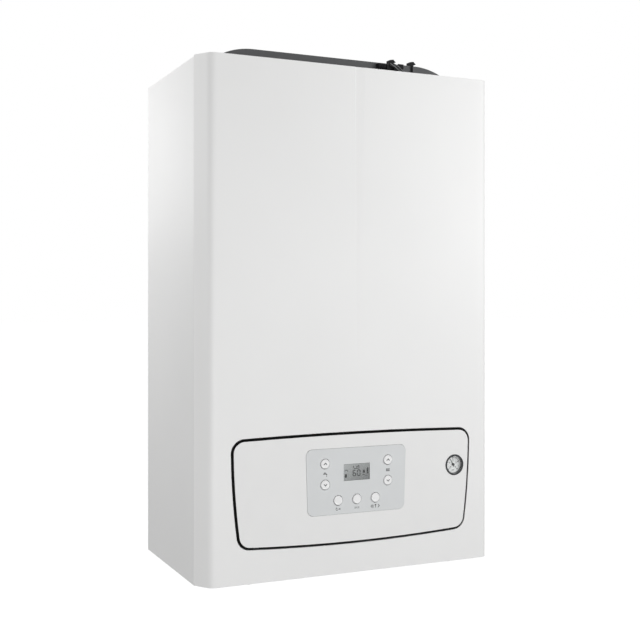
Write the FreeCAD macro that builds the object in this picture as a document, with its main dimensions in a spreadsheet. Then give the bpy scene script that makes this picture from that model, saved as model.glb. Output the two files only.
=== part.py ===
"""Wall-hung condensing gas boiler.

The wall is the plane y = 0, the front looks towards -Y, +Z is up and the casing's underside is z = 0.
Formulas give places as x (to the right), d (depth in front of the wall, so y = -d) and z (height).
"""
import FreeCAD
import Part
import math
import os
import re
import Sketcher
from FreeCAD import Placement, Rotation, Vector

# Driving dimensions, in millimetres and degrees
SIZES = {
    # Casing of folded sheet
    "casing_width": 440,
    "casing_height": 680,
    "side_depth": 220,
    "cover_depth": 25,
    "side_drop": 2,
    "sheet": 1.5,
    "fit": 0.3,
    "seam": 0.4,
    "overrun": 5,
    "return_flange": 12,
    "back_flange": 22,
    # Front cover
    "bevel_width": 15.3,
    "bevel_round": 14,
    "crease_share": 0.6,
    "crease_steep_width": 1.5,
    "crease_gentle_width": 14,
    "crease_rise": 19,
    "cover_screw_side_inset": 70,
    "cover_screw_inset": 13,
    "cover_screw_radius": 2,
    "cover_screw_head_radius": 4,
    "cover_screw_head": 3,
    "cover_screw_length": 8,
    # Hanging slots in the rear frame
    "hang_spacing": 220,
    "hang_drop": 38,
    "hang_slot_radius": 5,
    "hang_key_radius": 9,
    "hang_slot_length": 24,
    "bead_low": 330,
    "bead_drop": 93,
    "bead_width": 10,
    "bead_depth": 3,
    "bead_inset": 85,
    # Outline of the control panel's face
    "face_top_inset": 44.8,
    "face_mid_inset": 47.1,
    "face_low_inset": 54.5,
    "face_top": 183.2,
    "face_crown_rise": 2.8,
    "face_low": 48.2,
    "face_belly_drop": 5.3,
    "face_corner": 15,
    "face_proud": 1.6,
    "face_thickness": 0.8,
    "panel_gap": 3.7,
    "flange_gap": 1.3,
    "frame_wall": 2.6,
    # Control box behind the face
    "box_gauge_gap": 8.85,
    "box_foot_gap": 11.8,
    "box_head_gap": 15.2,
    "box_depth": 33,
    "lid_depth": 29,
    "box_wall": 2,
    # Hinge of the control panel
    "hinge_rise": 7.8,
    "hinge_box_gap": 13,
    "hinge_arm_width": 8,
    "hinge_arm_height": 6,
    "hinge_eye_radius": 2.9,
    "hinge_pin_radius": 1.3,
    "hinge_knuckle": 5,
    "crossbar_set_back": 47,
    "crossbar_thickness": 2,
    "crossbar_height": 36,
    "crossbar_rise": 2,
    "crossbar_flange": 12,
    # Keypad plate, buttons and display
    "keypad_top_half_width": 74.8,
    "keypad_low_half_width": 72.2,
    "keypad_head_gap": 14.9,
    "keypad_height": 87.9,
    "keypad_corner": 9,
    "keypad_proud": 0.3,
    "button_radius": 6.25,
    "button_gap": 0.8,
    "button_flange_radius": 7.8,
    "button_flange": 1.5,
    "button_stem_radius": 2.2,
    "button_proud": 1.3,
    "button_edge": 0.6,
    "button_dish": 0.25,
    "button_travel": 1.2,
    "column_half_width": 47,
    "column_high_drop": 19.7,
    "column_low_drop": 47.5,
    "row_pitch": 28,
    "row_drop": 69.5,
    "display_half_width": 19.6,
    "display_half_height": 11.2,
    "display_drop": 33.1,
    "display_frame": 5,
    "display_glass_gap": 0.3,
    # Control board
    "board_inset": 18,
    "board_foot_gap": 8,
    "board_head_gap": 7,
    "board_set_back": 12.4,
    "board_thickness": 1.6,
    "board_post_radius": 3.5,
    "board_post_inset": 6,
    "switch_radius": 3,
    "switch_height": 3,
    # Pressure gauge
    "gauge_edge_gap": 5.35,
    "gauge_drop": 48.2,
    "gauge_radius": 14.35,
    "gauge_rim": 2.1,
    "gauge_rim_proud": 0.6,
    "gauge_floor_set_back": 3.5,
    "gauge_depth": 23,
    "gauge_stub_radius": 5,
    "gauge_stub_length": 10,
    "dial_thickness": 0.8,
    "dial_gap": 0.2,
    "needle_angle": 30,
    "needle_length": 9.2,
    "needle_tail": 3.5,
    "needle_half_width": 0.7,
    "needle_thickness": 0.5,
    "needle_hub_radius": 1.8,
    "needle_spindle_radius": 0.9,
    "needle_hub_height": 1.4,
    "lens_thickness": 1,
    # Hood on the casing's top, with its hooks
    "hood_height": 27,
    "hood_inset": 40,
    "hood_flat_inset": 95,
    "hood_end_radius": 100,
    "hood_set_back": 37,
    "hood_back": 27,
    "hood_wall": 2.5,
    "hook_inset": 39,
    "hook_spacing": 33,
    "hook_width": 6,
    "hook_tip": 4,
    "hook_height": 7.5,
    "hook_depth": 10,
    "hook_set_back": 3,
    "hook_throat_share": 0.4,
    "hook_tip_share": 0.5,
    "hook_nape_share": 0.85,
    "clip_inset": 63,
    "clip_width": 42,
    "clip_height": 14,
    "clip_thickness": 4,
    "clip_ring_radius": 7,
    "clip_ring_wall": 2,
    # Flue collar
    "flue_radius": 30,
    "flue_wall": 3.5,
    "flue_step": 1,
    "flue_outer_radius": 52,
    "flue_outer_wall": 3,
    "flue_flange_radius": 60,
    "flue_flange": 2.5,
    "flue_lip": 2.5,
    "flue_tube_rise": 22,
    "gasket_thickness": 1.5,
    "gasket_width": 6,
    "air_port_radius": 5,
    # Heat exchanger and burner
    "exchanger_height_share": 0.745,
    "exchanger_radius": 100,
    "exchanger_back": 25,
    "exchanger_set_back": 80,
    "exchanger_flange_radius": 108,
    "exchanger_flange": 8,
    "exchanger_rib": 3,
    "exchanger_rib_width": 8,
    "exchanger_rib_share": 0.215,
    "chamber_radius": 84,
    "chamber_wall": 20,
    "spigot_overlap": 25,
    "spigot_wall": 3,
    "foot_inner": 55,
    "foot_outer": 88,
    "foot_height": 60,
    "port_offset": 10,
    "port_inset": 35,
    "port_radius": 13,
    "port_length": 15,
    "sump_gap": 2.5,
    "sump_inset": 35,
    "sump_radius": 13,
    "sump_length": 7,
    "door_radius": 104,
    "door_thickness": 8,
    "door_ring": 2,
    "door_ring_radius": 50,
    "door_inlet_radius": 20,
    "nut_circle": 95,
    "nut_radius": 6,
    "nut_height": 6,
    "burner_radius": 34,
    "burner_wall": 1.5,
    "burner_length_share": 0.75,
    "burner_flange_radius": 42,
    "burner_flange": 2,
    "electrode_x": 46,
    "electrode_drop": 47,
    "electrode_radius": 4.5,
    "electrode_length": 24,
    "electrode_plate": 22,
    "electrode_plate_thickness": 2,
    # Fan, duct and air intake
    "fan_side_gap": 12.5,
    "fan_height_share": 0.5,
    "fan_radius": 56,
    "fan_set_back": 49,
    "fan_depth": 44,
    "fan_wall": 2.5,
    "fan_inlet_radius": 24,
    "fan_outlet_width": 50,
    "fan_outlet_rise": 5,
    "wheel_radius": 44,
    "wheel_eye_radius": 26,
    "wheel_hub_radius": 9,
    "wheel_gap": 6,
    "wheel_plate": 2,
    "wheel_blade": 1.6,
    "wheel_blade_angle": 35,
    "motor_plate": 2.7,
    "motor_radius": 34,
    "motor_length": 18,
    "shaft_radius": 4,
    "shaft_fit": 0.2,
    "duct_radius": 17,
    "duct_bend": 50,
    "duct_flange_radius": 23,
    "duct_flange": 5,
    "dome_radius": 38,
    "dome_depth": 40,
    "dome_round": 8,
    "venturi_set_back": 20,
    "venturi_radius": 24,
    "venturi_throat_radius": 18,
    "venturi_bore_radius": 14,
    "venturi_flange_radius": 32,
    "venturi_flange": 5,
    "venturi_collar_share": 0.16,
    "gas_inlet_radius": 8,
    "gas_inlet_drop": 38,
    "silencer_radius": 22,
    "silencer_wall": 2.5,
    "silencer_run": 44,
    "silencer_rise": 90,
    "silencer_mouth": 40,
    "silencer_bend": 32,
    # Gas valve and gas pipes
    "valve_half_width": 40,
    "valve_depth": 64,
    "valve_drop": 107,
    "valve_height": 68,
    "valve_round": 6,
    "valve_stub": 10,
    "coil_radius": 15,
    "coil_height": 30,
    "coil_pitch": 38,
    "gas_pipe_radius": 9,
    "gas_nut_radius": 15,
    "gas_nut_height": 12,
    "feed_radius": 6,
    "feed_bend": 22,
    # Connections under the casing
    "connection_depth": 120,
    "connection_inset": 90,
    "connection_drop": 28,
    "connection_top": 20,
    "large_thread_radius": 13.2,
    "small_thread_radius": 10.45,
    "connection_wall": 3.5,
    "connection_hex": 4,
    "connection_hex_height": 12,
    "filling_set_back": 25,
    "filling_knob_radius": 12,
    "filling_knob_height": 20,
    "filling_spindle_radius": 5,
    "filling_rib_radius": 2.5,
    # Water groups, pump and plate exchanger
    "group_inner_gap": 15,
    "group_outer_gap": 20,
    "group_back_reach": 35,
    "group_front_reach": 22,
    "group_height": 42,
    "group_round": 6,
    "arm_inner": 20,
    "tower_radius": 15,
    "flow_tower_set_back": 25,
    "flow_tower_rise": 68,
    "diverter_offset": 5,
    "diverter_radius": 16,
    "diverter_height": 36,
    "diverter_motor_radius": 19,
    "diverter_motor_height": 46,
    "diverter_plug_width": 18,
    "diverter_plug_reach": 28,
    "diverter_plug_height": 16,
    "pump_lift": 4,
    "pump_radius": 46,
    "pump_wall": 6,
    "pump_set_back": 58,
    "pump_motor_room": 83,
    "pump_depth": 38,
    "impeller_edge_gap": 5,
    "impeller_eye_radius": 14,
    "impeller_hub_radius": 8,
    "impeller_gap": 3,
    "impeller_plate": 3,
    "impeller_blade": 3,
    "impeller_blade_angle": 55,
    "pump_flange_inset": 2,
    "pump_flange": 6,
    "pump_motor_radius": 38,
    "pump_motor_gap": 18.7,
    "pump_neck": 15,
    "pump_motor_round": 8,
    "terminal_half_width": 22,
    "terminal_rise": 60,
    "terminal_inset": 7,
    "return_tower_rise": 2,
    "safety_radius": 10,
    "safety_length": 18,
    "safety_knob_radius": 12,
    "safety_knob_length": 18,
    "safety_rib_radius": 2.5,
    "plate_half_width": 38,
    "plate_back": 18,
    "plate_front": 60,
    "plate_low": 38,
    "plate_head_gap": 6,
    "plate_lip": 2,
    "plate_foot_height": 20,
    "plate_foot_half_width": 28,
    # Water pipes
    "pipe_radius": 10,
    "pipe_bend": 38,
    "pipe_jog_drop": 55,
    "pipe_jog_height": 50,
    # Expansion vessel
    "vessel_drum_gap": 18.5,
    "vessel_gap": 4,
    "vessel_front_gap": 20,
    "vessel_back": 24,
    "vessel_low_share": 0.425,
    "vessel_drop": 42,
    "vessel_round": 20,
    "vessel_wall": 2,
    "vessel_seam": 4,
    "vessel_seam_width": 6,
    "vessel_foot_share": 0.64,
    "vessel_stub_set_back": 28,
    "vessel_stub_radius": 8,
    "vessel_stub": 10,
    "vessel_pipe_radius": 5,
    "vessel_pipe_bend": 12,
    "vessel_pipe_run": 20,
    # Condensate trap and hose
    "trap_inset": 35,
    "trap_radius": 19,
    "trap_offset": 10,
    "trap_low": 22,
    "trap_drop": 68,
    "trap_cup_radius": 23,
    "trap_cup_height": 46,
    "trap_neck_radius": 13,
    "trap_neck": 14,
    "trap_spigot_radius": 10,
    "trap_collar_radius": 12,
    "trap_collar_low": 2,
    "trap_spigot_low": 18,
    "hose_radius": 9.5,
    "hose_drop": 30,
    "hose_jog_drop": 13,
    "hose_jog_height": 50,
    "hose_jog_share": 1.5,
    "hose_bend": 36,
}

BLADES = 14
VANES = 6
NUTS = 6
PLATES = 10
KNOB_RIBS = 8

doc = FreeCAD.newDocument("GasBoiler")
sheet = doc.addObject("Spreadsheet::Sheet", "Sizes")
for row, (alias, number) in enumerate(SIZES.items(), start=1):
    sheet.set(f"A{row}", alias)
    sheet.set(f"B{row}", str(number))
    sheet.setAlias(f"B{row}", alias)
doc.recompute()

NODES = []
WORDS = re.compile(r"[a-z][a-z0-9_]*")
TURNS = {"x": Rotation(Vector(0, 1, 0), 90), "d": Rotation(Vector(1, 0, 0), 90), "z": Rotation()}
PLANES = {"x": "YZ_Plane", "d": "XZ_Plane", "z": "XY_Plane"}

# Formulas that several pieces share: the casing
HALF = "(casing_width / 2)"
INNER_HALF = "(casing_width / 2 - sheet)"
SIDE_TOP = "(casing_height - side_drop)"
COVER_BACK = "(side_depth + seam)"
CASING_DEPTH = "(side_depth + cover_depth)"
FRONT_HALF = "(casing_width / 2 - bevel_width)"
HANG_HEIGHT = f"({SIDE_TOP} - hang_drop)"
SCREW_X = f"({HALF} - cover_screw_side_inset)"
HOOD_TOP = f"({SIDE_TOP} + hood_height)"
HOOD_FRONT = "(side_depth - hood_set_back)"
HOOD_HALF = f"({HALF} - hood_inset)"
HOOD_FLAT = f"({HALF} - hood_flat_inset)"
FLUE_DEPTH = f"((hood_back + {HOOD_FRONT}) / 2)"

# The control panel
FACE_FRONT = f"({CASING_DEPTH} + face_proud)"
FACE_BACK = f"({FACE_FRONT} - face_thickness)"
FRAME_STEP = f"({FACE_BACK} - frame_wall)"
FRAME_BACK = f"({FRAME_STEP} - frame_wall)"
KEYPAD_FRONT = f"({FACE_FRONT} + keypad_proud)"
FACE_CROWN = "(face_top + face_crown_rise)"
FACE_BELLY = "(face_low - face_belly_drop)"
GAUGE = (f"({HALF} - face_mid_inset - gauge_edge_gap - gauge_radius)", "(face_top - gauge_drop)")
GAUGE_FLOOR = f"({CASING_DEPTH} - gauge_floor_set_back)"
GAUGE_BACK = f"({CASING_DEPTH} - gauge_depth)"
BOX_HALF = f"({GAUGE[0]} - gauge_radius - box_gauge_gap)"
BOX_LOW = "(face_low + box_foot_gap)"
BOX_TOP = "(face_top - box_head_gap)"
BOX_SPLIT = f"({CASING_DEPTH} - box_depth)"
BOX_BACK = f"({BOX_SPLIT} - lid_depth)"
BOARD_HALF = f"({BOX_HALF} - board_inset)"
BOARD_LOW = f"({BOX_LOW} + board_foot_gap)"
BOARD_TOP = f"({BOX_TOP} - board_head_gap)"
BOARD_FRONT = f"({CASING_DEPTH} - board_set_back)"
HINGE = (f"({FACE_BACK} - hinge_eye_radius - fit)", "(face_low + hinge_rise)")
HINGE_X = f"({BOX_HALF} + hinge_box_gap)"
KEYPAD_TOP = "(face_top - keypad_head_gap)"
KEYPAD_LOW = f"({KEYPAD_TOP} - keypad_height)"
DISPLAY_HEIGHT = f"({KEYPAD_TOP} - display_drop)"

# The combustion side
EXCHANGER = ("0", f"({SIDE_TOP} * exchanger_height_share)")
EXCHANGER_FRONT = f"({CASING_DEPTH} - exchanger_set_back)"
CHAMBER_BACK = "(exchanger_back + chamber_wall)"
DOOR_BACK = f"({EXCHANGER_FRONT} + fit)"
DOOR_FRONT = f"({DOOR_BACK} + door_thickness)"
FLUE_LOW = f"({EXCHANGER[1]} + exchanger_flange_radius + flue_tube_rise)"
FAN = (f"({INNER_HALF} - fan_side_gap - fan_radius)", f"({SIDE_TOP} * fan_height_share)")
FAN_MIDDLE = f"({CASING_DEPTH} - fan_set_back)"
FAN_BACK = f"({FAN_MIDDLE} - fan_depth / 2)"
FAN_FRONT = f"({FAN_BACK} + fan_depth)"
FAN_TOP = f"({FAN[1]} + fan_radius + fan_outlet_rise)"
VENTURI_BACK = "(connection_depth - venturi_set_back)"
GAS_INLET = f"({FAN[1]} - gas_inlet_drop)"
VALVE_LOW = f"({FAN[1]} - valve_drop)"
SUMP = ("(-(valve_half_width + hose_radius + sump_gap))", f"({EXCHANGER_FRONT} - sump_inset)")
SUMP_LOW = f"({EXCHANGER[1]} - exchanger_radius - sump_length)"
VESSEL_LOW = f"({SIDE_TOP} * vessel_low_share)"
HOSE_HEIGHT = f"({VESSEL_LOW} - hose_drop)"
TRAP = (f"(-({HALF} - trap_inset))", "(connection_depth + trap_offset)")
TRAP_TOP = f"({HOSE_HEIGHT} - trap_drop)"

# The water side
PITCH = f"(({HALF} - connection_inset) / 2)"
PORT_X = f"({PITCH} + port_offset)"
PORT_DEPTH = "(exchanger_back + port_inset)"
PORT_LOW = f"({EXCHANGER[1]} - exchanger_radius - port_length)"
GROUP_INNER = f"({PITCH} - group_inner_gap)"
GROUP_OUTER = f"(2 * {PITCH} + group_outer_gap)"
GROUP_BACK = "(connection_depth - group_back_reach)"
GROUP_FRONT = "(connection_depth + group_front_reach)"
GROUP_TOP = "(connection_top + group_height)"
GROUP_MIDDLE = "(connection_top + group_height / 2)"
PUMP = (f"(({GROUP_INNER} + {GROUP_OUTER}) / 2)", f"({GROUP_TOP} + pump_lift + pump_radius)")
# The pump stands over its connections, or further back where the control box leaves its motor no room
PUMP_FRONT = f"(min(connection_depth - pump_set_back + pump_depth; {BOX_BACK} - pump_motor_room))"
PUMP_BACK = f"({PUMP_FRONT} - pump_depth)"
FLOW_TOWER_DEPTH = "(connection_depth - flow_tower_set_back)"
FLOW_TOWER_TOP = f"({GROUP_TOP} + flow_tower_rise)"
RETURN_TOWER_DEPTH = f"({PUMP_BACK} + pump_depth / 2)"
RETURN_TOWER_TOP = f"({PUMP[1]} + pump_radius + return_tower_rise)"
IMPELLER_RADIUS = "(pump_radius - pump_wall - impeller_edge_gap)"
FILLING = (f"(3 * {PITCH} / 2)", "(connection_depth - filling_set_back)")
PLATE_TOP = f"({VALVE_LOW} - plate_head_gap)"
VESSEL_THICKNESS = f"({INNER_HALF} - vessel_gap - exchanger_flange_radius - vessel_drum_gap)"
VESSEL_X = f"(-({INNER_HALF} - vessel_gap - {VESSEL_THICKNESS} / 2))"
VESSEL_RADIUS = "((side_depth - vessel_front_gap - vessel_back) / 2)"
VESSEL_DEPTH = f"(vessel_back + {VESSEL_RADIUS})"
VESSEL_TOP = f"({SIDE_TOP} - vessel_drop)"
VESSEL_STUB_DEPTH = "(connection_depth - vessel_stub_set_back)"
VESSEL_STUB_X = f"(-max(-{VESSEL_X}; {GROUP_OUTER} + vessel_pipe_run))"


def formula(text):
    """The text with each size's name led by the name of the sheet."""
    def lead(word):
        return f"Sizes.{word.group()}" if word.group() in SIZES else word.group()
    return WORDS.sub(lead, str(text))


def tie(obj, path, text):
    """Binds one property of an object to a formula of sizes."""
    obj.setExpression(path, formula(text))


def size(text):
    """The number that a formula of sizes comes to."""
    return float(sheet.evalExpression(formula(text)))


def node(obj, label):
    """Names a finished sub-part."""
    obj.Label = label
    NODES.append(obj)
    return obj


def place(obj, x, d, z):
    tie(obj, "Placement.Base.x", x)
    tie(obj, "Placement.Base.y", f"-({d})")
    tie(obj, "Placement.Base.z", z)


def put(obj, axis, at, start):
    """Turns an object's own Z axis onto an axis and sets it at a place across that axis."""
    obj.Placement = Placement(Vector(), TURNS[axis])
    if axis == "x":
        place(obj, start, at[0], at[1])
    elif axis == "d":
        place(obj, at[0], start, at[1])
    else:
        place(obj, at[0], at[1], start)


def block(name, x, d, z):
    """A block between two places on each axis."""
    obj = doc.addObject("Part::Box", name)
    tie(obj, "Length", f"({x[1]}) - ({x[0]})")
    tie(obj, "Width", f"({d[1]}) - ({d[0]})")
    tie(obj, "Height", f"({z[1]}) - ({z[0]})")
    place(obj, x[0], d[1], z[0])
    return obj


def rod(name, axis, at, span, radius):
    """A round bar along an axis: at is its place across it, in x, d, z order."""
    obj = doc.addObject("Part::Cylinder", name)
    tie(obj, "Radius", radius)
    tie(obj, "Height", f"({span[1]}) - ({span[0]})")
    put(obj, axis, at, span[0])
    return obj


def taper(name, axis, at, span, start_radius, end_radius):
    """A cone's frustum along an axis."""
    obj = doc.addObject("Part::Cone", name)
    tie(obj, "Radius1", start_radius)
    tie(obj, "Radius2", end_radius)
    tie(obj, "Height", f"({span[1]}) - ({span[0]})")
    put(obj, axis, at, span[0])
    return obj


def hexagon(name, axis, at, span, radius):
    """A six-sided bar along an axis."""
    obj = doc.addObject("Part::Prism", name)
    obj.Polygon = 6
    tie(obj, "Circumradius", radius)
    tie(obj, "Height", f"({span[1]}) - ({span[0]})")
    put(obj, axis, at, span[0])
    return obj


def fuse(name, *parts):
    obj = doc.addObject("Part::MultiFuse", name)
    obj.Shapes = list(parts)
    obj.Refine = True
    return obj


def cut(name, base, *tools):
    obj = doc.addObject("Part::Cut", name)
    obj.Base = base
    obj.Tool = tools[0] if len(tools) == 1 else fuse(f"{name}_tools", *tools)
    obj.Refine = True
    return obj


def common(name, first, second):
    obj = doc.addObject("Part::Common", name)
    obj.Base = first
    obj.Tool = second
    return obj


def group(name, *parts):
    """Separate solids that share one node."""
    obj = doc.addObject("Part::Compound", name)
    obj.Links = list(parts)
    return obj


def outline(body, axis, points):
    """A closed sketch across an axis whose corners are bound to formulas."""
    sketch = body.newObject("Sketcher::SketchObject", f"{body.Name}_sketch")
    plane = next(f for f in body.Origin.OriginFeatures if f.Role == PLANES[axis])
    sketch.AttachmentSupport = [(plane, "")]
    sketch.MapMode = "FlatFace"
    flip = {"x": (-1, 1), "d": (1, 1), "z": (1, -1)}[axis]
    pairs = [[f"{sign} * ({text})" for sign, text in zip(flip, point)] for point in points]
    corners = [Vector(size(u), size(v), 0) for u, v in pairs]
    count = len(corners)
    for i in range(count):
        sketch.addGeometry(Part.LineSegment(corners[i], corners[(i + 1) % count]))
    for i in range(count):
        sketch.addConstraint(Sketcher.Constraint("Coincident", i, 2, (i + 1) % count, 1))
    for i, (u, v) in enumerate(pairs):
        for kind, text, line in (("DistanceX", u, -2), ("DistanceY", v, -1)):
            if size(text) == 0:
                sketch.addConstraint(Sketcher.Constraint("PointOnObject", i, 1, line))
                continue
            index = sketch.addConstraint(Sketcher.Constraint(kind, -1, 1, i, 1, size(text)))
            tie(sketch, f"Constraints[{index}]", text)
    return sketch


def prism(name, axis, points, span):
    """A padded outline; its points are (d, z), (x, z) or (x, d) pairs across the axis."""
    body = doc.addObject("PartDesign::Body", name)
    sketch = outline(body, axis, points)
    tie(sketch, "AttachmentOffset.Base.z", span[0])
    pad = body.newObject("PartDesign::Pad", f"{name}_pad")
    pad.Profile = sketch
    tie(pad, "Length", f"({span[1]}) - ({span[0]})")
    return body


def turned(name, axis, at, start, points):
    """A revolved outline; its points are pairs of radius and length along the axis."""
    body = doc.addObject("PartDesign::Body", name)
    sketch = outline(body, "d", points)
    spin = body.newObject("PartDesign::Revolution", f"{name}_turn")
    spin.Profile = sketch
    spin.ReferenceAxis = (sketch, ["V_Axis"])
    spin.Angle = 360
    put(body, axis, at, start)
    return body


def round_edges(body, radius, chosen):
    """Rounds the edges of a body that the test picks."""
    doc.recompute()
    base = body.Tip
    names = [f"Edge{i}" for i, edge in enumerate(base.Shape.Edges, start=1) if chosen(edge)]
    fillet = body.newObject("PartDesign::Fillet", f"{body.Name}_round")
    fillet.Base = (base, names)
    tie(fillet, "Radius", radius)


def soften(name, base, radius, chosen):
    """A copy of a joined shape with the picked edges rounded."""
    doc.recompute()
    obj = doc.addObject("Part::Fillet", name)
    obj.Base = base
    picked = [i for i, edge in enumerate(base.Shape.Edges, start=1) if chosen(edge)]
    obj.Edges = [(i, size(radius), size(radius)) for i in picked]
    return obj


def along(axis):
    """A test for straight edges along an axis."""
    direction = {"x": Vector(1, 0, 0), "d": Vector(0, 1, 0), "z": Vector(0, 0, 1)}[axis]

    def test(edge):
        straight = isinstance(edge.Curve, Part.Line)
        return straight and abs(edge.Curve.Direction.dot(direction)) > math.cos(math.radians(1))
    return test


def pipe(name, points, radius, bend):
    """A round pipe along straight runs that tangent arcs join; its points are (x, d, z)."""
    corners = [Vector(size(x), -size(d), size(z)) for x, d, z in points]
    turn = size(bend)
    edges = []
    start = corners[0]
    for before, corner, after in zip(corners, corners[1:], corners[2:]):
        back = (before - corner).normalize()
        onward = (after - corner).normalize()
        half = back.getAngle(onward) / 2
        if math.cos(half) < math.sin(math.radians(1)):
            continue
        reach = turn / math.tan(half)
        bulge = (back + onward).normalize() * (turn / math.sin(half) - turn)
        edges.append(Part.LineSegment(start, corner + back * reach).toShape())
        edges.append(Part.Arc(corner + back * reach, corner + bulge, corner + onward * reach).toShape())
        start = corner + onward * reach
    edges.append(Part.LineSegment(start, corners[-1]).toShape())
    ring = Part.Wire(Part.Circle(corners[0], corners[1] - corners[0], size(radius)).toShape())
    obj = doc.addObject("Part::Feature", name)
    obj.Shape = Part.Wire(edges).makePipeShell([ring], True, False)
    return obj


def blade_ring(name, at, span, radii, thickness, lean, count):
    """Slanted flat blades in a ring about an axis along the depth."""
    inner, outer = size(radii[0]), size(radii[1])
    wide, low, high = size(thickness), size(span[0]), size(span[1])
    centre = Vector(size(at[0]), 0, size(at[1]))
    turn = math.radians(size(lean))
    reach = (outer ** 2 - (inner * math.sin(turn)) ** 2) ** 0.5 - inner * math.cos(turn)
    blades = []
    for i in range(count):
        blade = Part.makeBox(reach, high - low, wide, Vector(0, -high, -wide / 2))
        blade.rotate(Vector(), Vector(0, 1, 0), size(lean))
        blade.translate(Vector(inner, 0, 0))
        blade.rotate(Vector(), Vector(0, 1, 0), 360 * i / count)
        blade.translate(centre)
        blades.append(blade)
    obj = doc.addObject("Part::Feature", name)
    obj.Shape = Part.makeCompound(blades)
    return obj


def panel_face(name, grow):
    """The control panel's bowed outline, grown all round, as a flat face on the wall plane."""
    def point(x, z):
        return Vector(size(x), 0, size(z))
    top = f"({HALF} - face_top_inset)"
    middle = f"({HALF} - face_mid_inset)"
    low = f"({HALF} - face_low_inset)"
    centre = "(face_top + face_low) / 2"
    top_left, top_right = point(f"-{top}", "face_top"), point(top, "face_top")
    low_left, low_right = point(f"-{low}", "face_low"), point(low, "face_low")
    arcs = [
        Part.Arc(low_left, point(f"-{middle}", centre), top_left),
        Part.Arc(top_left, point("0", FACE_CROWN), top_right),
        Part.Arc(top_right, point(middle, centre), low_right),
        Part.Arc(low_right, point("0", FACE_BELLY), low_left),
    ]
    sharp = Part.Face(Part.Wire([arc.toShape() for arc in arcs]))
    slab = sharp.extrude(Vector(0, -size("overrun"), 0))
    slab = slab.makeFillet(size("face_corner"), [e for e in slab.Edges if along("d")(e)])
    rounded = max(slab.Faces, key=lambda face: face.CenterOfMass.y)
    grown = []
    for edge in rounded.OuterWire.OrderedEdges:
        low, high = edge.ParameterRange
        points = [edge.valueAt(t) for t in (low, (low + high) / 2, high)]
        centre = Part.Circle(*points).Center
        spread = [p + (p - centre).normalize() * size(grow) for p in points]
        grown.append(Part.Arc(*spread).toShape())
    obj = doc.addObject("Part::Feature", name)
    obj.Shape = Part.Face(Part.Wire(grown))
    return obj


def panel_slab(name, grow, span):
    """A slab with the panel's outline, grown all round, between two depths."""
    obj = doc.addObject("Part::Extrusion", name)
    obj.Base = panel_face(f"{name}_edge", grow)
    obj.DirMode = "Custom"
    obj.Dir = Vector(0, -1, 0)
    obj.Solid = True
    tie(obj, "LengthFwd", f"({span[1]}) - ({span[0]})")
    place(obj, "0", span[0], "0")
    return obj


# Casing


def side_panel(label, side):
    points = [
        (f"{side} * {HALF}", "0"),
        (f"{side} * {HALF}", "side_depth"),
        (f"{side} * ({HALF} - return_flange)", "side_depth"),
        (f"{side} * ({HALF} - return_flange)", "side_depth - sheet"),
        (f"{side} * {INNER_HALF}", "side_depth - sheet"),
        (f"{side} * {INNER_HALF}", "0"),
    ]
    node(prism(label, "z", points, ("0", SIDE_TOP)), label)


def rear_frame():
    points = [
        (f"-{INNER_HALF}", "0"),
        (f"-{INNER_HALF}", "back_flange"),
        (f"-({INNER_HALF} - sheet)", "back_flange"),
        (f"-({INNER_HALF} - sheet)", "sheet"),
        (f"{INNER_HALF} - sheet", "sheet"),
        (f"{INNER_HALF} - sheet", "back_flange"),
        (INNER_HALF, "back_flange"),
        (INNER_HALF, "0"),
    ]
    tray = prism("frame_tray", "z", points, ("sheet", f"{SIDE_TOP} - sheet"))
    beads = [block("frame_plate", (f"-{INNER_HALF}", INNER_HALF), ("0", "sheet"), ("0", SIDE_TOP))]
    bead = (f"-({HALF} - bead_inset)", f"{HALF} - bead_inset")
    for height in ("bead_low", f"({SIDE_TOP} - bead_drop)"):
        beads.append(block("frame_bead", bead, ("sheet / 2", "sheet + bead_depth"),
                           (f"{height} - bead_width / 2", f"{height} + bead_width / 2")))
    slots = []
    for side in (-1, 1):
        x = f"{side} * hang_spacing / 2"
        through = ("-overrun", "sheet + overrun")
        key = f"({HANG_HEIGHT} - hang_slot_length)"
        slots.append(rod("hang_top", "d", (x, HANG_HEIGHT), through, "hang_slot_radius"))
        slots.append(rod("hang_key", "d", (x, key), through, "hang_key_radius"))
        slots.append(block("hang_slot", (f"{x} - hang_slot_radius", f"{x} + hang_slot_radius"), through,
                           (key, HANG_HEIGHT)))
    node(cut("rear_frame_cut", fuse("frame_body", tray, *beads), *slots), "rear_frame")


def end_panels():
    """The top panel with the flue's opening, and the bottom panel with the pipes' holes."""
    depth = ("sheet", "side_depth - sheet")
    across = (f"-{INNER_HALF}", INNER_HALF)
    top = block("top_sheet", across, depth, (f"{SIDE_TOP} - sheet", SIDE_TOP))
    above = (f"{SIDE_TOP} - sheet - overrun", f"{SIDE_TOP} + overrun")
    opening = rod("top_opening", "z", ("0", FLUE_DEPTH), above, "flue_outer_radius")
    node(cut("top_panel_cut", top, opening), "top_panel")
    bottom = block("bottom_sheet", across, depth, ("0", "sheet"))
    through = ("-overrun", "sheet + overrun")
    holes = []
    for place_number in range(-2, 3):
        radius = "small_thread_radius" if abs(place_number) == 1 else "large_thread_radius"
        x = f"{place_number} * {PITCH}"
        holes.append(rod("pipe_hole", "z", (x, "connection_depth"), through, f"{radius} + fit"))
    holes.append(rod("tap_hole", "z", FILLING, through, "filling_spindle_radius + fit"))
    holes.append(rod("drain_hole", "z", TRAP, through, "trap_collar_radius + fit"))
    node(cut("bottom_panel_cut", bottom, *holes), "bottom_panel")


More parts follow.
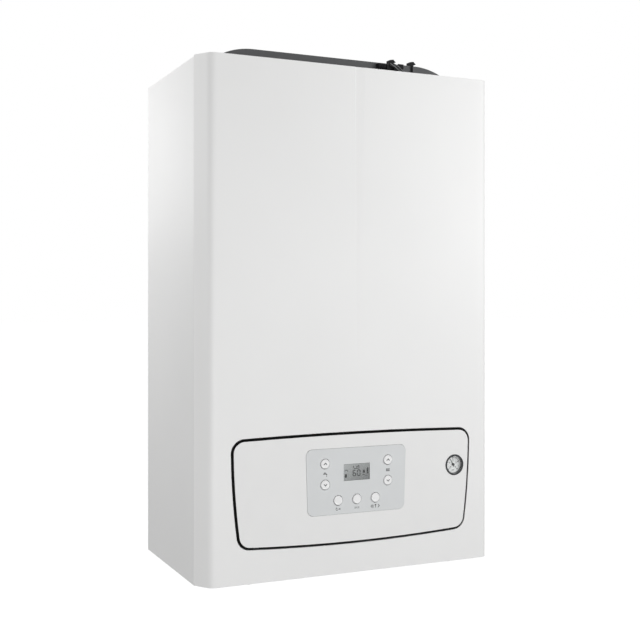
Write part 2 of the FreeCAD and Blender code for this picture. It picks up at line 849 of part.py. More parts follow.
def front_cover():
    """A pressed pan with bevelled sides, a crease that fades out downwards and the panel's opening."""
    points = [
        (f"-{HALF}", COVER_BACK),
        (f"-{FRONT_HALF}", CASING_DEPTH),
        (FRONT_HALF, CASING_DEPTH),
        (HALF, COVER_BACK),
    ]
    pan = prism("cover_pan", "z", points, ("0", "casing_height"))
    front = -size(CASING_DEPTH)

    def at_front(edge):
        return all(abs(vertex.Y - front) < size("sheet") for vertex in edge.Vertexes)
    round_edges(pan, "bevel_round", lambda edge: along("z")(edge) and at_front(edge))
    doc.recompute()
    solid = pan.Tip
    back = max(range(len(solid.Shape.Faces)), key=lambda i: solid.Shape.Faces[i].CenterOfMass.y)
    shell = pan.newObject("PartDesign::Thickness", "cover_shell")
    shell.Base = (solid, [f"Face{back + 1}"])
    tie(shell, "Value", "sheet")
    shell.Reversed = True
    through = (f"{CASING_DEPTH} - overrun", f"{CASING_DEPTH} + overrun")
    opening = panel_slab("cover_opening", "panel_gap", through)
    crease_end = f"({FACE_CROWN} + crease_rise)"
    deep = "sheet * crease_share"
    reach = f"overrun / ({deep})"
    groove = prism("crease", "z", [
        ("0", "0"),
        (f"-crease_steep_width * {reach}", "overrun"),
        (f"crease_gentle_width * {reach}", "overrun"),
    ], ("0", f"casing_height - {crease_end} + overrun"))
    tilt = math.degrees(math.atan2(size(deep), size(f"casing_height - {crease_end}")))
    groove.Placement = Placement(Vector(), Rotation(Vector(1, 0, 0), -tilt))
    place(groove, "0", CASING_DEPTH, crease_end)
    holes = []
    for side in (-1, 1):
        at = (f"{side} * {SCREW_X}", f"{CASING_DEPTH} - cover_screw_inset")
        holes.append(rod("screw_hole", "z", at, ("-overrun", "sheet + overrun"), "cover_screw_radius + fit"))
    node(cut("front_cover_cut", pan, opening, groove, *holes), "front_cover")


def cover_screws():
    screws = []
    for side in (-1, 1):
        at = (f"{side} * {SCREW_X}", f"{CASING_DEPTH} - cover_screw_inset")
        shank = rod("screw_shank", "z", at, ("0", "cover_screw_length"), "cover_screw_radius")
        head = rod("screw_head", "z", at, ("-cover_screw_head", "0"), "cover_screw_head_radius")
        screws.append(fuse("cover_screw", shank, head))
    node(group("cover_screw_pair", *screws), "cover_screws")


# Hood and flue


def hood_form(name, shrink, low):
    """The hood's outer form, or its hollow when it is shrunk by the wall."""
    span = (f"hood_back + {shrink}", f"{HOOD_FRONT} - {shrink}")
    heights = (low, f"{HOOD_TOP} - {shrink}")
    middle = block(f"{name}_middle", (f"-{HOOD_FLAT}", HOOD_FLAT), span, heights)
    ends = []
    for side in (-1, 1):
        edges = sorted((f"{side} * ({HOOD_FLAT} - overrun)", f"{side} * ({HOOD_HALF} - {shrink})"), key=size)
        corner = block(f"{name}_corner", edges, span, heights)
        wheel = rod(f"{name}_wheel", "d", (f"{side} * {HOOD_FLAT}", f"{HOOD_TOP} - hood_end_radius"), span,
                    f"hood_end_radius - {shrink}")
        ends.append(common(f"{name}_end", corner, wheel))
    return fuse(name, middle, *ends)


def top_hood():
    outer = hood_form("hood_outer", "0", SIDE_TOP)
    hollow = hood_form("hood_hollow", "hood_wall", f"{SIDE_TOP} - overrun")
    above = (SIDE_TOP, f"{HOOD_TOP} + overrun")
    hole = rod("hood_hole", "z", ("0", FLUE_DEPTH), above, "flue_outer_radius - gasket_width")
    node(cut("top_hood_cut", outer, hollow, hole), "top_hood")


def hood_hooks():
    """Two barbed cable hooks on the hood's top and a ring clip on its front."""
    hooks = []
    span = (f"{HOOD_FRONT} - hook_set_back - hook_depth", f"{HOOD_FRONT} - hook_set_back")
    for number in range(2):
        x = f"({HOOD_FLAT} - hook_inset + {number} * hook_spacing)"
        hooks.append(prism(f"hook_{number}", "d", [
            (x, HOOD_TOP),
            (f"{x} + hook_width", HOOD_TOP),
            (f"{x} + hook_width", f"{HOOD_TOP} + hook_height * hook_throat_share"),
            (f"{x} + hook_width + hook_tip", f"{HOOD_TOP} + hook_height * hook_tip_share"),
            (f"{x} + hook_width", f"{HOOD_TOP} + hook_height"),
            (x, f"{HOOD_TOP} + hook_height * hook_nape_share"),
        ], span))
    clip_x = f"({HOOD_FLAT} - clip_inset)"
    face = f"({HOOD_FRONT} + clip_thickness)"
    strap = block("clip_strap", (clip_x, f"{clip_x} + clip_width"), (HOOD_FRONT, face),
                  (f"{HOOD_TOP} - clip_height", f"{HOOD_TOP} - hood_wall"))
    at = (f"{clip_x} + clip_width / 2", f"{HOOD_TOP} - clip_height / 2")
    ring = rod("clip_ring", "d", at, (HOOD_FRONT, f"{face} + clip_thickness"), "clip_ring_radius")
    bore = rod("clip_bore", "d", at, (face, f"{face} + clip_thickness + overrun"),
               "clip_ring_radius - clip_ring_wall")
    clip = cut("clip", fuse("clip_body", strap, ring), bore)
    node(group("hood_hook_set", *hooks, clip), "hood_hooks")


def flue_collar():
    """A concentric socket: the exhaust tube inside, the air ring around it, on one flange."""
    low = FLUE_LOW
    seat = f"({HOOD_TOP} + gasket_thickness - {low})"
    disc = f"({seat} + flue_flange)"
    lip = f"({disc} + flue_lip)"
    socket = turned("collar_turned", "z", ("0", FLUE_DEPTH), low, [
        ("flue_radius", "spigot_overlap + fit"),
        ("flue_radius + flue_step", "spigot_overlap + fit"),
        ("flue_radius + flue_step", "0"),
        ("flue_radius + flue_wall", "0"),
        ("flue_radius + flue_wall", seat),
        ("flue_flange_radius", seat),
        ("flue_flange_radius", disc),
        ("flue_outer_radius", disc),
        ("flue_outer_radius", lip),
        ("flue_outer_radius - flue_outer_wall", lip),
        ("flue_outer_radius - flue_outer_wall", disc),
        ("flue_radius + flue_wall", disc),
        ("flue_radius + flue_wall", lip),
        ("flue_radius", lip),
    ])
    ports = []
    middle = "((flue_radius + flue_wall + flue_outer_radius - flue_outer_wall) / 2)"
    for angle in range(0, 360, 45):
        at = (f"{middle} * cos({angle})", f"{FLUE_DEPTH} + {middle} * sin({angle})")
        through = (f"{HOOD_TOP} - overrun", f"{low} + {lip} + overrun")
        ports.append(rod("air_port", "z", at, through, "air_port_radius"))
    node(cut("flue_collar_cut", socket, *ports), "flue_collar")
    span = (HOOD_TOP, f"{HOOD_TOP} + gasket_thickness")
    ring = rod("gasket_ring", "z", ("0", FLUE_DEPTH), span, "flue_outer_radius + gasket_width")
    bore = rod("gasket_bore", "z", ("0", FLUE_DEPTH), (f"{span[0]} - overrun", f"{span[1]} + overrun"),
               "flue_outer_radius - gasket_width")
    node(cut("flue_gasket_cut", ring, bore), "flue_gasket")


# Control panel

COLUMN_HIGH = f"({KEYPAD_TOP} - column_high_drop)"
COLUMN_LOW = f"({KEYPAD_TOP} - column_low_drop)"
ROW = f"({KEYPAD_TOP} - row_drop)"
BUTTONS = {
    "button_water_up": ("-column_half_width", COLUMN_HIGH),
    "button_water_down": ("-column_half_width", COLUMN_LOW),
    "button_heating_up": ("column_half_width", COLUMN_HIGH),
    "button_heating_down": ("column_half_width", COLUMN_LOW),
    "button_reset": ("-row_pitch", ROW),
    "button_info": ("0", ROW),
    "button_mode": ("row_pitch", ROW),
}


def display_block(name, grow, span):
    wide = f"(display_half_width + {grow})"
    high = f"(display_half_height + {grow})"
    heights = (f"{DISPLAY_HEIGHT} - {high}", f"{DISPLAY_HEIGHT} + {high}")
    return block(name, (f"-{wide}", wide), span, heights)


def keypad_form(name, grow, span):
    """The keypad plate's outline: a little narrower at its foot, with round corners."""
    low, top = f"(keypad_low_half_width + {grow})", f"(keypad_top_half_width + {grow})"
    body = prism(name, "d", [
        (f"-{low}", f"{KEYPAD_LOW} - {grow}"),
        (low, f"{KEYPAD_LOW} - {grow}"),
        (top, f"{KEYPAD_TOP} + {grow}"),
        (f"-{top}", f"{KEYPAD_TOP} + {grow}"),
    ], span)
    round_edges(body, "keypad_corner", along("d"))
    return body


def box_block(name, shrink, span):
    """A block across the control box, or its hollow when it is shrunk by the wall."""
    return block(name, (f"-({BOX_HALF} - {shrink})", f"{BOX_HALF} - {shrink}"), span,
                 (f"{BOX_LOW} + {shrink}", f"{BOX_TOP} - {shrink}"))


def both_sides(side, inner, outer):
    """The two places on one side of the middle, the lower first."""
    return sorted((f"{side} * ({inner})", f"{side} * ({outer})"), key=size)


def panel_frame():
    """The black moulding: a flange in the cover's opening, a step for the face, a box and the hinge."""
    flange = panel_slab("frame_flange", "panel_gap - flange_gap", (FRAME_BACK, FRAME_STEP))
    step = panel_slab("frame_step", "0", (FRAME_STEP, FACE_BACK))
    box = box_block("frame_box", "0", (BOX_SPLIT, FRAME_BACK))
    hollow = box_block("frame_hollow", "box_wall", (f"{BOX_SPLIT} - overrun", FRAME_STEP))
    through = (f"{FRAME_BACK} - overrun", f"{FACE_BACK} + overrun")
    holes = [rod("button_hole", "d", at, through, "button_radius + button_gap") for at in BUTTONS.values()]
    holes.append(display_block("display_hole", "0", through))
    holes.append(rod("gauge_hole", "d", GAUGE, through, "gauge_radius + fit"))
    near = f"({HINGE_X} - hinge_arm_width / 2 - fit)"
    far = f"({HINGE_X} + hinge_arm_width / 2 + fit)"
    notch = (f"{FACE_BELLY} - panel_gap - overrun", f"{HINGE[1]} + hinge_eye_radius + fit")
    knuckles, notches, extras = [], [], []
    for side in (-1, 1):
        for inner, outer in ((f"{near} - hinge_knuckle", near), (far, f"{far} + hinge_knuckle")):
            knuckles.append(rod("knuckle", "x", HINGE, both_sides(side, inner, outer), "hinge_eye_radius"))
        notches.append(block("hinge_notch", both_sides(side, near, far), through, notch))
        span = both_sides(side, f"{near} - hinge_knuckle", f"{far} + hinge_knuckle")
        extras.append(rod("hinge_pin", "x", HINGE, span, "hinge_pin_radius"))
    span = (BOARD_FRONT, f"{FRAME_STEP} + frame_wall / 2")
    for x in (f"-({BOARD_HALF} - board_post_inset)", f"{BOARD_HALF} - board_post_inset"):
        for z in (f"{BOARD_LOW} + board_post_inset", f"{BOARD_TOP} - board_post_inset"):
            extras.append(rod("board_post", "d", (x, z), span, "board_post_radius"))
    shell = cut("frame_shell", fuse("frame_mass", flange, step, box, *knuckles), hollow, *holes, *notches)
    node(fuse("panel_frame_joined", shell, *extras), "panel_frame")


def fascia():
    face = panel_slab("fascia_slab", "0", (FACE_BACK, FACE_FRONT))
    through = (f"{FACE_BACK} - overrun", f"{FACE_FRONT} + overrun")
    window = keypad_form("fascia_window", "fit", through)
    hole = rod("fascia_hole", "d", GAUGE, through, "gauge_radius + fit")
    node(cut("fascia_cut", face, window, hole), "fascia")


def keypad():
    plate = keypad_form("keypad_slab", "0", (FACE_BACK, KEYPAD_FRONT))
    through = (f"{FACE_BACK} - overrun", f"{KEYPAD_FRONT} + overrun")
    holes = [rod("keypad_hole", "d", at, through, "button_radius + button_gap") for at in BUTTONS.values()]
    node(cut("keypad_cut", plate, display_block("keypad_window", "0", through), *holes), "keypad_plate")
    lens = display_block("lens_block", "-display_glass_gap", (f"{FACE_BACK} + fit", KEYPAD_FRONT))
    node(lens, "display_lens")
    seat = display_block("display_seat", "display_frame", (BOARD_FRONT, f"{FRAME_STEP} - fit"))
    glass = display_block("display_glass", "-display_glass_gap", (f"{FRAME_STEP} - fit - overrun", FACE_BACK))
    node(fuse("display_joined", seat, glass), "display_module")


def buttons():
    """Push-buttons: a stem over its switch, a flange that stops behind the frame and a dished cap."""
    start = f"({BOARD_FRONT} + switch_height + button_travel + fit)"
    flange = f"({FRAME_STEP} - fit - {start})"
    top = f"({KEYPAD_FRONT} + button_proud - {start})"
    for label, at in BUTTONS.items():
        body = turned(f"{label}_turned", "d", at, start, [
            ("0", "0"),
            ("button_stem_radius", "0"),
            ("button_stem_radius", f"{flange} - button_flange"),
            ("button_flange_radius", f"{flange} - button_flange"),
            ("button_flange_radius", flange),
            ("button_radius", flange),
            ("button_radius", f"{top} - button_edge"),
            ("button_radius - button_edge", top),
            ("button_radius - 2 * button_edge", top),
            ("button_radius - 3 * button_edge", f"{top} - button_dish"),
            ("0", f"{top} - button_dish"),
        ])
        node(body, label)


def control_box():
    """The board with its switches, and the lid that closes the box from behind."""
    back = f"({BOARD_FRONT} - board_thickness)"
    board = block("board_slab", (f"-{BOARD_HALF}", BOARD_HALF), (back, BOARD_FRONT), (BOARD_LOW, BOARD_TOP))
    raised = (back, f"{BOARD_FRONT} + switch_height")
    switches = [rod("switch", "d", at, raised, "switch_radius") for at in BUTTONS.values()]
    node(fuse("board_joined", board, *switches), "control_board")
    lid = box_block("lid_block", "0", (BOX_BACK, BOX_SPLIT))
    hollow = box_block("lid_hollow", "box_wall", (f"{BOX_BACK} + box_wall", f"{BOX_SPLIT} + overrun"))
    node(cut("lid_cut", lid, hollow), "control_box_lid")


def gauge():
    """A pressure gauge: a cup with a rim, its dial, a lens, and the needle on its spindle."""
    bore = "(gauge_radius - gauge_rim)"
    cup = rod("gauge_cup", "d", GAUGE, (GAUGE_BACK, f"{FACE_FRONT} + gauge_rim_proud"), "gauge_radius")
    behind = (f"{GAUGE_BACK} - gauge_stub_length", GAUGE_BACK)
    stub = rod("gauge_stub", "d", GAUGE, behind, "gauge_stub_radius")
    well = rod("gauge_well", "d", GAUGE, (GAUGE_FLOOR, f"{FACE_FRONT} + overrun"), bore)
    node(cut("gauge_case_cut", fuse("gauge_body", cup, stub), well), "gauge_case")
    front = f"({GAUGE_FLOOR} + dial_thickness)"
    disc = rod("dial_disc", "d", GAUGE, (GAUGE_FLOOR, front), f"{bore} - dial_gap")
    through = (f"{GAUGE_FLOOR} - overrun", f"{front} + overrun")
    eye = rod("dial_eye", "d", GAUGE, through, "needle_spindle_radius + dial_gap")
    node(cut("gauge_dial_cut", disc, eye), "gauge_dial")
    rest = f"({front} + fit)"
    along_x, along_z = "(-sin(needle_angle))", "cos(needle_angle)"

    def pointer(length, width):
        return (f"{GAUGE[0]} + {length} * {along_x} + {width} * {along_z}",
                f"{GAUGE[1]} + {length} * {along_z} - {width} * {along_x}")
    blade = prism("needle_blade", "d", [
        pointer("-needle_tail", "-needle_half_width"),
        pointer("-needle_tail", "needle_half_width"),
        pointer("needle_length", "needle_half_width / 3"),
        pointer("needle_length", "-needle_half_width / 3"),
    ], (rest, f"{rest} + needle_thickness"))
    hub = rod("needle_hub", "d", GAUGE, (rest, f"{rest} + needle_hub_height"), "needle_hub_radius")
    spindle = rod("needle_spindle", "d", GAUGE, (f"{GAUGE_FLOOR} + fit", rest), "needle_spindle_radius")
    node(fuse("gauge_needle_joined", blade, hub, spindle), "gauge_needle")
    lens = rod("gauge_glass", "d", GAUGE, (f"{FACE_FRONT} - lens_thickness", FACE_FRONT), f"{bore} - dial_gap")
    node(lens, "gauge_lens")


def crossbar():
    """The rail that carries the control panel, with an eye on each arm."""
    across = (f"-{INNER_HALF}", INNER_HALF)
    back = f"({CASING_DEPTH} - crossbar_set_back)"
    front = f"({back} + crossbar_thickness)"
    top = f"({HINGE[1]} + crossbar_rise)"
    low = f"({top} - crossbar_height)"
    web = block("crossbar_web", across, (back, front), (low, top))
    foot = block("crossbar_foot", across, (front, f"{front} + crossbar_flange"),
                 (low, f"{low} + crossbar_thickness"))
    arms, eyes = [], []
    heights = (f"{HINGE[1]} - hinge_arm_height / 2", f"{HINGE[1]} + hinge_arm_height / 2")
    for side in (-1, 1):
        edges = both_sides(side, f"{HINGE_X} - hinge_arm_width / 2", f"{HINGE_X} + hinge_arm_width / 2")
        arms.append(block("hinge_arm", edges, (back, HINGE[0]), heights))
        arms.append(rod("hinge_eye", "x", HINGE, edges, "hinge_eye_radius"))
        through = (f"{edges[0]} - overrun", f"{edges[1]} + overrun")
        eyes.append(rod("hinge_bore", "x", HINGE, through, "hinge_pin_radius + fit"))
    node(cut("crossbar_cut", fuse("crossbar_mass", web, foot, *arms), *eyes), "panel_crossbar")


# Combustion side


def heat_exchanger():
    """A drum with a combustion chamber, feet at the back, water ports below and the flue spigot on top."""
    middle = EXCHANGER[1]
    length = f"({EXCHANGER_FRONT} - exchanger_back)"
    drum = rod("drum", "d", EXCHANGER, ("exchanger_back", EXCHANGER_FRONT), "exchanger_radius")
    rim = (f"{EXCHANGER_FRONT} - exchanger_flange", EXCHANGER_FRONT)
    parts = [rod("drum_flange", "d", EXCHANGER, rim, "exchanger_flange_radius")]
    for number in range(1, 4):
        start = f"exchanger_back + {number} * {length} * exchanger_rib_share"
        span = (start, f"{start} + exchanger_rib_width")
        parts.append(rod("drum_rib", "d", EXCHANGER, span, "exchanger_radius + exchanger_rib"))
    for side in (-1, 1):
        edges = both_sides(side, "foot_inner", "foot_outer")
        parts.append(block("drum_foot", edges, ("sheet", "exchanger_back + overrun"),
                           (f"{middle} - foot_height / 2", f"{middle} + foot_height / 2")))
        at = (f"{side} * {PORT_X}", PORT_DEPTH)
        parts.append(rod("water_port", "z", at, (PORT_LOW, middle), "port_radius"))
    parts.append(rod("sump_port", "z", SUMP, (SUMP_LOW, middle), "sump_radius"))
    top = f"({FLUE_LOW} + spigot_overlap)"
    flue = ("0", FLUE_DEPTH)
    parts.append(rod("spigot", "z", flue, (middle, top), "flue_radius + flue_step - fit"))
    chamber = rod("chamber", "d", EXCHANGER, (CHAMBER_BACK, f"{EXCHANGER_FRONT} + overrun"), "chamber_radius")
    exhaust = rod("exhaust", "z", flue, (middle, f"{top} + overrun"), "flue_radius - spigot_wall")
    node(cut("exchanger_cut", fuse("exchanger_mass", drum, *parts), chamber, exhaust), "heat_exchanger")


def burner_door():
    face = f"({DOOR_FRONT} + door_ring)"
    disc = rod("door_disc", "d", EXCHANGER, (DOOR_BACK, DOOR_FRONT), "door_radius")
    ring = rod("door_ring_disc", "d", EXCHANGER, (DOOR_FRONT, face), "door_ring_radius")
    through = (f"{DOOR_BACK} - overrun", f"{face} + overrun")
    inlet = rod("door_inlet", "d", EXCHANGER, through, "door_inlet_radius")
    node(cut("burner_door_cut", fuse("door_mass", disc, ring), inlet), "burner_door")
    nuts = []
    for number in range(NUTS):
        angle = 360 // NUTS * number + 180 // NUTS
        at = (f"nut_circle * cos({angle})", f"{EXCHANGER[1]} + nut_circle * sin({angle})")
        nuts.append(hexagon("door_nut", "d", at, (DOOR_FRONT, f"{DOOR_FRONT} + nut_height"), "nut_radius"))
    node(group("door_nut_set", *nuts), "door_nuts")


def burner():
    """A closed perforated tube on a flange behind the door."""
    back = f"({EXCHANGER_FRONT} - ({EXCHANGER_FRONT} - {CHAMBER_BACK}) * burner_length_share)"
    rim = (f"{EXCHANGER_FRONT} - burner_flange", EXCHANGER_FRONT)
    flange = rod("burner_rim", "d", EXCHANGER, rim, "burner_flange_radius")
    tube = rod("burner_tube", "d", EXCHANGER, (back, EXCHANGER_FRONT), "burner_radius")
    inside = (f"{back} + burner_wall", f"{EXCHANGER_FRONT} + overrun")
    bore = rod("burner_bore", "d", EXCHANGER, inside, "burner_radius - burner_wall")
    node(cut("burner_cut", fuse("burner_mass", flange, tube), bore), "burner")


def electrode():
    at = ("-electrode_x", f"{EXCHANGER[1]} - electrode_drop")
    plate = block("electrode_base", (f"{at[0]} - electrode_plate / 2", f"{at[0]} + electrode_plate / 2"),
                  (DOOR_FRONT, f"{DOOR_FRONT} + electrode_plate_thickness"),
                  (f"{at[1]} - electrode_plate / 4", f"{at[1]} + electrode_plate / 4"))
    core = rod("electrode_core", "d", at, (DOOR_FRONT, f"{DOOR_FRONT} + electrode_length"), "electrode_radius")
    node(fuse("electrode_joined", plate, core), "spark_electrode")


def gas_air_duct():
    """The duct from the fan's outlet into the dome on the burner door."""
    outlet_x = f"({FAN[0]} + fan_radius - fan_outlet_width / 2)"
    low = f"({FAN_TOP} + fit)"
    back = f"({DOOR_FRONT} + door_ring)"
    front = f"({back} + dome_depth)"

    def at_front(edge):
        return abs(edge.CenterOfMass.y + size(front)) < size("fit")
    dome_rod = rod("dome_rod", "d", EXCHANGER, (back, front), "dome_radius")
    dome = soften("dome", dome_rod, "dome_round", at_front)
    run = pipe("duct_pipe", [
        (outlet_x, FAN_MIDDLE, low),
        (outlet_x, FAN_MIDDLE, EXCHANGER[1]),
        ("0", FAN_MIDDLE, EXCHANGER[1]),
    ], "duct_radius", "duct_bend")
    flange = rod("duct_rim", "z", (outlet_x, FAN_MIDDLE), (low, f"{low} + duct_flange"), "duct_flange_radius")
    node(fuse("duct_joined", dome, run, flange), "gas_air_duct")


def fan():
    """A centrifugal blower: scroll housing, bladed wheel, and the motor on the scroll's lid."""
    outlet = (f"{FAN[0]} + fan_radius - fan_outlet_width", f"{FAN[0]} + fan_radius")
    scroll = rod("scroll", "d", FAN, (FAN_BACK, FAN_FRONT), "fan_radius")
    chute = block("chute", outlet, (FAN_BACK, FAN_FRONT), (FAN[1], FAN_TOP))
    floor = f"({FAN_BACK} + fan_wall)"
    hollow = rod("scroll_hollow", "d", FAN, (floor, f"{FAN_FRONT} + overrun"), "fan_radius - fan_wall")
    passage = block("chute_hollow", (f"{outlet[0]} + fan_wall", f"{outlet[1]} - fan_wall"),
                    (floor, f"{FAN_FRONT} - fan_wall"), (FAN[1], f"{FAN_TOP} + overrun"))
    inlet = rod("scroll_inlet", "d", FAN, (f"{FAN_BACK} - overrun", f"{floor} + overrun"), "fan_inlet_radius")
    node(cut("fan_housing_cut", fuse("fan_mass", scroll, chute), hollow, passage, inlet), "fan_housing")
    back = f"({floor} + wheel_gap)"
    front = f"({FAN_FRONT} - wheel_gap)"
    plate = rod("wheel_plate_disc", "d", FAN, (f"{front} - wheel_plate", front), "wheel_radius")
    hub = rod("wheel_hub", "d", FAN, (back, front), "wheel_hub_radius")
    ring = rod("shroud_disc", "d", FAN, (back, f"{back} + wheel_plate"), "wheel_radius")
    through = (f"{back} - overrun", f"{back} + wheel_plate + overrun")
    eye = rod("shroud_eye", "d", FAN, through, "wheel_eye_radius")
    radii = ("wheel_eye_radius", "wheel_radius - wheel_blade")
    span = (f"{back} + wheel_plate / 2", f"{front} - wheel_plate / 2")
    blades = blade_ring("wheel_blades", FAN, span, radii, "wheel_blade", "wheel_blade_angle", BLADES)
    bore = rod("wheel_bore", "d", FAN, (f"{back} - overrun", f"{front} + overrun"), "shaft_radius + shaft_fit")
    wheel = fuse("wheel_mass", plate, hub, cut("wheel_shroud", ring, eye), blades)
    node(cut("fan_wheel_cut", wheel, bore), "fan_wheel")
    start = f"({FAN_FRONT} + fit)"
    cover = rod("motor_cover", "d", FAN, (start, f"{start} + motor_plate"), "fan_radius")
    can = rod("motor_can", "d", FAN, (start, f"{start} + motor_plate + motor_length"), "motor_radius")
    shaft = rod("motor_shaft", "d", FAN, (back, start), "shaft_radius")
    node(fuse("fan_motor_joined", cover, can, shaft), "fan_motor")


def air_intake():
    """The venturi mixer behind the fan and the silencer tube that feeds it."""
    length = f"({FAN_BACK} - fit - {VENTURI_BACK})"
    collar = f"({length} * venturi_collar_share)"
    body = turned("venturi_turned", "d", FAN, VENTURI_BACK, [
        ("venturi_bore_radius", f"{length} / 2"),
        ("venturi_throat_radius", "0"),
        ("venturi_radius", "0"),
        ("venturi_radius", collar),
        ("venturi_throat_radius", f"2 * {collar}"),
        ("venturi_throat_radius", f"{length} - 2 * venturi_flange"),
        ("venturi_flange_radius", f"{length} - venturi_flange"),
        ("venturi_flange_radius", length),
        ("venturi_throat_radius", length),
    ])
    high = f"{FAN[1]} - venturi_bore_radius - fit"
    stub = rod("gas_stub", "z", (FAN[0], "connection_depth"), (GAS_INLET, high), "gas_inlet_radius")
    node(fuse("venturi_joined", body, stub), "venturi")
    start = f"({VENTURI_BACK} - fit)"
    back = f"({VENTURI_BACK} - silencer_run)"
    top = f"({FAN[1]} + silencer_rise)"
    tube = pipe("silencer_pipe", [
        (FAN[0], start, FAN[1]),
        (FAN[0], back, FAN[1]),
        (FAN[0], back, top),
    ], "silencer_radius", "silencer_bend")
    mouth = rod("silencer_hollow", "z", (FAN[0], back), (f"{top} - silencer_mouth", f"{top} + overrun"),
                "silencer_radius - silencer_wall")
    node(cut("silencer_cut", tube, mouth), "air_silencer")


def gas_line():
    """The gas valve with its two coils, the supply pipe below it and the feed pipe to the venturi."""
    depth = ("connection_depth - valve_depth / 2", "connection_depth + valve_depth / 2")
    top = f"({VALVE_LOW} + valve_height)"
    body = block("valve_block", ("-valve_half_width", "valve_half_width"), depth, (VALVE_LOW, top))
    housing = soften("valve_housing", body, "valve_round", along("z"))
    coils = []
    for side in (-1, 1):
        at = (f"{side} * coil_pitch / 2", "connection_depth")
        coils.append(rod("valve_coil", "z", at, (f"{top} - overrun", f"{top} + coil_height"), "coil_radius"))
    middle = f"({top} - valve_height / 2)"
    stub = ("valve_half_width - overrun", "valve_half_width + valve_stub")
    outlet = hexagon("valve_outlet", "x", ("connection_depth", middle), stub, "gas_nut_radius")
    node(fuse("gas_valve_joined", housing, outlet, *coils), "gas_valve")
    supply = ("0", "connection_depth")
    riser = rod("gas_riser", "z", supply, ("connection_top", VALVE_LOW), "gas_pipe_radius")
    nut = hexagon("gas_nut", "z", supply, (f"{VALVE_LOW} - gas_nut_height", VALVE_LOW), "gas_nut_radius")
    node(fuse("gas_supply_joined", riser, nut), "gas_supply_pipe")
    node(pipe("feed_pipe", [
        (stub[1], "connection_depth", middle),
        (FAN[0], "connection_depth", middle),
        (FAN[0], "connection_depth", GAS_INLET),
    ], "feed_radius", "feed_bend"), "gas_feed_pipe")


def condensate():
    """The trap with its cup, standing through the bottom panel, and the hose from the heat exchanger."""
    neck = f"({TRAP_TOP} + trap_neck)"
    trap = [
        rod("trap_tube", "z", TRAP, ("trap_low", TRAP_TOP), "trap_radius"),
        rod("trap_cup", "z", TRAP, ("trap_low", "trap_low + trap_cup_height"), "trap_cup_radius"),
        rod("trap_neck_rod", "z", TRAP, (TRAP_TOP, neck), "trap_neck_radius"),
        rod("trap_collar", "z", TRAP, ("-trap_collar_low", "trap_low"), "trap_collar_radius"),
        rod("trap_spigot", "z", TRAP, ("-trap_spigot_low", "trap_low"), "trap_spigot_radius"),
    ]
    node(fuse("trap_joined", *trap), "condensate_trap")
    jog = f"({SUMP_LOW} - hose_jog_drop)"
    jog_height = f"max(hose_jog_height; hose_jog_share * abs({SUMP[1]} - {TRAP[1]}))"
    node(pipe("hose_pipe", [
        (*SUMP, SUMP_LOW),
        (*SUMP, jog),
        (SUMP[0], TRAP[1], f"{jog} - {jog_height}"),
        (SUMP[0], TRAP[1], HOSE_HEIGHT),
        (*TRAP, HOSE_HEIGHT),
        (*TRAP, neck),
    ], "hose_radius", "hose_bend"), "condensate_hose")


# Water side


def water_group(name, side):
    """A manifold bar on its two nipples, with an arm that reaches the plate heat exchanger."""
    body = block(f"{name}_block", both_sides(side, GROUP_INNER, GROUP_OUTER), (GROUP_BACK, GROUP_FRONT),
                 ("connection_top", GROUP_TOP))
    bar = soften(f"{name}_bar", body, "group_round", along("z"))
    arm = block(f"{name}_arm", both_sides(side, "arm_inner", f"{GROUP_INNER} + overrun"),
                ("plate_front", f"{GROUP_BACK} + 2 * group_round"),
                ("connection_top + group_round", GROUP_TOP))
    return [bar, arm]


def flow_group():
    """The flow manifold with its tower, and the diverter valve with the motor on top of it."""
    parts = water_group("flow", -1)
    tower = (f"-{PORT_X}", FLOW_TOWER_DEPTH)
    parts.append(rod("flow_tower", "z", tower, ("connection_top", FLOW_TOWER_TOP), "tower_radius"))
    at = (f"-(2 * {PITCH} - diverter_offset)", "(connection_depth - diverter_offset)")
    seat = f"({GROUP_TOP} + diverter_height)"
    top = f"({seat} + diverter_motor_height)"
    parts.append(rod("diverter_body", "z", at, ("connection_top", seat), "diverter_radius"))
    node(fuse("flow_group_joined", *parts), "flow_group")
    motor = rod("diverter_can", "z", at, (seat, top), "diverter_motor_radius")
    plug = block("diverter_plug", (f"{at[0]} - diverter_plug_width / 2", f"{at[0]} + diverter_plug_width / 2"),
                 (f"{at[1]} - diverter_plug_reach", at[1]), (f"{top} - diverter_plug_height", top))
    node(fuse("diverter_joined", motor, plug), "diverter_motor")


